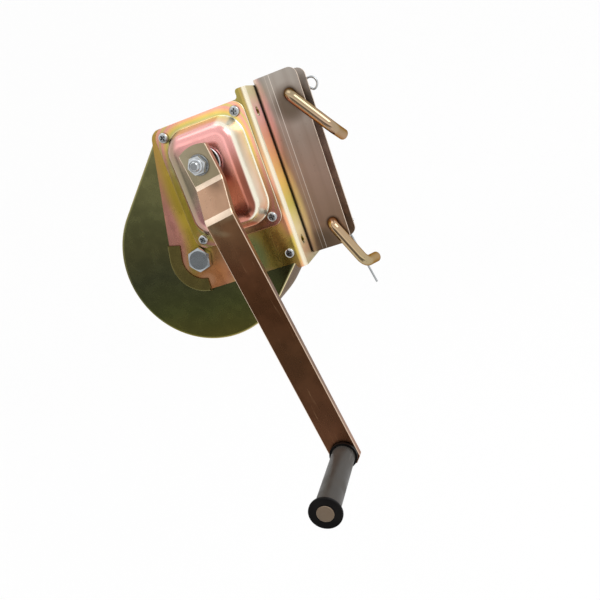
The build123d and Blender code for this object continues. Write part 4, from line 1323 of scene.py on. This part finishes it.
@dataclass
class Crank:
    """The crank hub, the bar and the nut that holds it."""

    thread_pitch: float = 1.5 * MM
    thread_radius: float = 5.0 * MM
    stud_chamfer: float = 0.9 * MM
    nylon_radius: float = 6.0 * MM
    nylon_half_width: float = 0.7 * MM
    nylon_half_depth: float = 0.25 * MM

    def build(self, paint: Paintbox) -> None:
        """Dresses the nodes, cuts the thread of the stud and sets the nylon ring of its nut.

        Args:
            paint: the finishes.
        """
        paint.dress(Coat.BRIGHT, "crank_hub", "hub_disc", "crank_washer", "crank_nut")
        paint.dress(Coat.BAR, "crank_arm")
        centre = middle("crank_nut")
        nut_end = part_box("crank_nut")[0].y
        stud_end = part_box("crank_hub")[0].y
        thread = Thread("stud_thread", (centre[0], stud_end + self.stud_chamfer, centre[2]),
                        self.thread_radius, self.thread_pitch, nut_end - stud_end - self.stud_chamfer)
        finish_piece(thread.build(), paint, Coat.BRIGHT, "crank_body")
        ring = Ring("nylon_ring", (centre[0], nut_end, centre[2]), self.nylon_radius,
                    self.nylon_half_width, self.nylon_half_depth)
        finish_piece(ring.build(), paint, Coat.NYLON, "crank_body")


@dataclass
class Handle:
    """The turning grip on its spindle."""

    collars: tuple[str, ...] = ("grip_inner_collar", "grip_outer_collar")

    def build(self, paint: Paintbox) -> None:
        """Dresses the nodes.

        Args:
            paint: the finishes.
        """
        paint.dress(Coat.RIVET, "handle_spindle")
        paint.dress(Coat.BRIGHT, "handle_washer")
        paint.dress(Coat.GRIP, "grip_tube")
        paint.dress(Coat.COLLAR, *self.collars)


@dataclass
class LockPins:
    """The two lock pins with their washers and spring clips."""

    names: tuple[str, ...] = ("upper", "lower")

    def build(self, paint: Paintbox) -> None:
        """Dresses the nodes of both pins.

        Args:
            paint: the finishes.
        """
        for name in self.names:
            paint.dress(Coat.ROD, name + "_lock_pin")
            paint.dress(Coat.BRIGHT, name + "_pin_washer", name + "_spring_clip")


# ---------------------------------------------------------------- studio
FRONT_LIGHT: tuple[Stop, ...] = (
    (0.00, (0.25, 0.25, 0.25)), (0.10, (0.27, 0.27, 0.27)), (0.30, (1.05, 1.04, 1.02)),
    (0.60, (1.40, 1.38, 1.35)), (1.00, (1.00, 1.00, 1.00)))


def stand(side: np.ndarray, back: np.ndarray, place: Point) -> Matrix:
    """Works out the pose of a lamp or the camera.

    Args:
        side: the direction of its right.
        back: the direction that it faces away from.
        place: where it stands.

    Returns:
        The pose.
    """
    pose = np.eye(4)
    pose[:3, 0], pose[:3, 1], pose[:3, 2], pose[:3, 3] = side, np.cross(back, side), back, place
    return Matrix(pose.tolist())


@dataclass
class SoftBox:
    """A square lamp that faces the object, with its place, its side in metres and its watts."""

    name: str
    place: Point
    size: float
    power: float

    def hang(self) -> None:
        """Hangs the lamp."""
        lamp = bpy.data.lights.new(self.name, "AREA")
        lamp.shape = "SQUARE"
        lamp.size = self.size
        lamp.energy = self.power
        away = np.array(self.place) - middle("frame")
        back = away / np.linalg.norm(away)
        side = np.cross((0.0, 0.0, 1.0), back)
        add_object(self.name, lamp).matrix_world = stand(side / np.linalg.norm(side), back, self.place)


@dataclass
class Studio:
    """White sweep, gradient surroundings, two soft boxes and the camera."""

    floor_level: float = -0.62
    floor_front: float = -0.30
    floor_back: float = 2.2
    sweep_radius: float = 0.9
    sweep_top: float = 3.0
    sweep_steps: int = 24
    half_width: float = 4.0
    columns: int = 9
    paper: Colour = (0.90, 0.90, 0.90)
    glow: float = 0.9
    boxes: tuple[SoftBox, ...] = (SoftBox("right_box", (1.1, -0.7, 0.9), 0.8, 7.0),
                                  SoftBox("top_box", (-0.3, -0.2, 1.6), 0.9, 2.5))
    eye: Point = (0.17298, -0.81880, 0.02618)
    azimuth: float = 16.81
    elevation: float = 16.86
    roll: float = -19.92
    lens: float = 43.16
    sensor: float = 36.0
    clip: Band = (0.01, 50.0)
    shift: tuple[float, float] = (-0.0365, 0.1019)
    side_tilt: float = 0.8
    side_lift: float = 0.29
    light_heights: Band = (-0.2, 0.8)
    light_front: Band = (0.50, 0.82)

    def surroundings(self) -> None:
        """Lights the object from all round: white, but a gradient in front that is dark below."""
        world = bpy.data.worlds.new("studio")
        bpy.context.scene.world = world
        world.use_nodes = True
        wire = Wire(world.node_tree)
        parts = wire.split(wire.coordinate("Generated"))
        aside = wire.math("MULTIPLY_ADD", parts["X"], self.side_tilt, self.side_lift)
        height = wire.span(wire.math("ADD", parts["Z"], aside), self.light_heights)
        front = wire.span(wire.times(parts["Y"], -1.0), self.light_front)
        room = wire.mix(front, WHITE, wire.ramp(height, FRONT_LIGHT, "EASE"))
        colour = wire.mix(wire.node("LightPath").outputs["Is Camera Ray"], room, WHITE)
        light = wire.fill(wire.node("Background"), Color=colour)
        wire.fill(wire.node("OutputWorld"), Surface=light.outputs[0])

    def white(self) -> bpy.types.Material:
        """Builds the sweep's paper, which shows white and still takes the object's shadow.

        Returns:
            The material.
        """
        material = bpy.data.materials.new("studio_white")
        material.use_nodes = True
        wire = Wire(material.node_tree)
        ray = wire.node("LightPath").outputs
        seen = wire.math("MAXIMUM", ray["Is Camera Ray"], ray["Is Glossy Ray"])
        seen = wire.math("MAXIMUM", seen, ray["Is Transmission Ray"])
        paper = wire.fill(wire.node("BsdfDiffuse"), Color=self.paper)
        glow = wire.fill(wire.node("Emission"), Strength=1.0)
        blend = wire.node("MixShader")
        blended = (wire.times(seen, self.glow), paper.outputs[0], glow.outputs[0])
        for target, value in zip(blend.inputs, blended):
            wire.feed(target, value)
        wire.fill(wire.node("OutputMaterial"), Surface=blend.outputs[0])
        return material

    def sweep(self) -> None:
        """Builds the floor and backdrop as one surface.

        The profile runs level to the back, turns a quarter circle and rises, and it is carried along X.
        """
        turn = np.linspace(-np.pi / 2, 0.0, self.sweep_steps)
        bend = np.stack((self.floor_back + self.sweep_radius * np.cos(turn),
                         self.floor_level + self.sweep_radius * (1 + np.sin(turn))), axis=-1)
        profile = np.concatenate(([[self.floor_front, self.floor_level]], bend,
                                  [[self.floor_back + self.sweep_radius, self.sweep_top]]))
        x = np.linspace(-self.half_width, self.half_width, self.columns)[:, None]
        points = np.stack(np.broadcast_arrays(x, profile[:, 0], profile[:, 1]), axis=-1)
        made = surface("studio_floor", points)
        made.data.materials.append(self.white())

    def camera(self) -> None:
        """Sets the camera from its bearing, height and roll."""
        turn, lift, roll = (math.radians(value) for value in (self.azimuth, self.elevation, self.roll))
        level = np.array((math.cos(turn), math.sin(turn), 0.0))
        ahead = np.array((math.sin(turn), -math.cos(turn), 0.0))
        back = math.cos(lift) * ahead + np.array((0.0, 0.0, math.sin(lift)))
        right = math.cos(roll) * level + math.sin(roll) * np.cross(back, level)
        lens = bpy.data.cameras.new("camera")
        lens.lens = self.lens
        lens.sensor_width = self.sensor
        lens.shift_x, lens.shift_y = self.shift
        lens.clip_start, lens.clip_end = self.clip
        made = add_object("camera", lens)
        made.matrix_world = stand(right, back, self.eye)
        bpy.context.scene.camera = made

    def build(self) -> None:
        """Builds the whole studio."""
        bpy.context.scene.view_settings.view_transform = "Standard"
        self.surroundings()
        self.sweep()
        for box in self.boxes:
            box.hang()
        self.camera()


def main() -> None:
    """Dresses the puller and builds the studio."""
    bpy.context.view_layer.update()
    paint = Paintbox()
    for part in (FrameAssembly(), BrakeCover(), Drum(), Crank(), Handle(), LockPins()):
        part.build(paint)
    Studio().build()


if __name__ == "__main__":
    main()
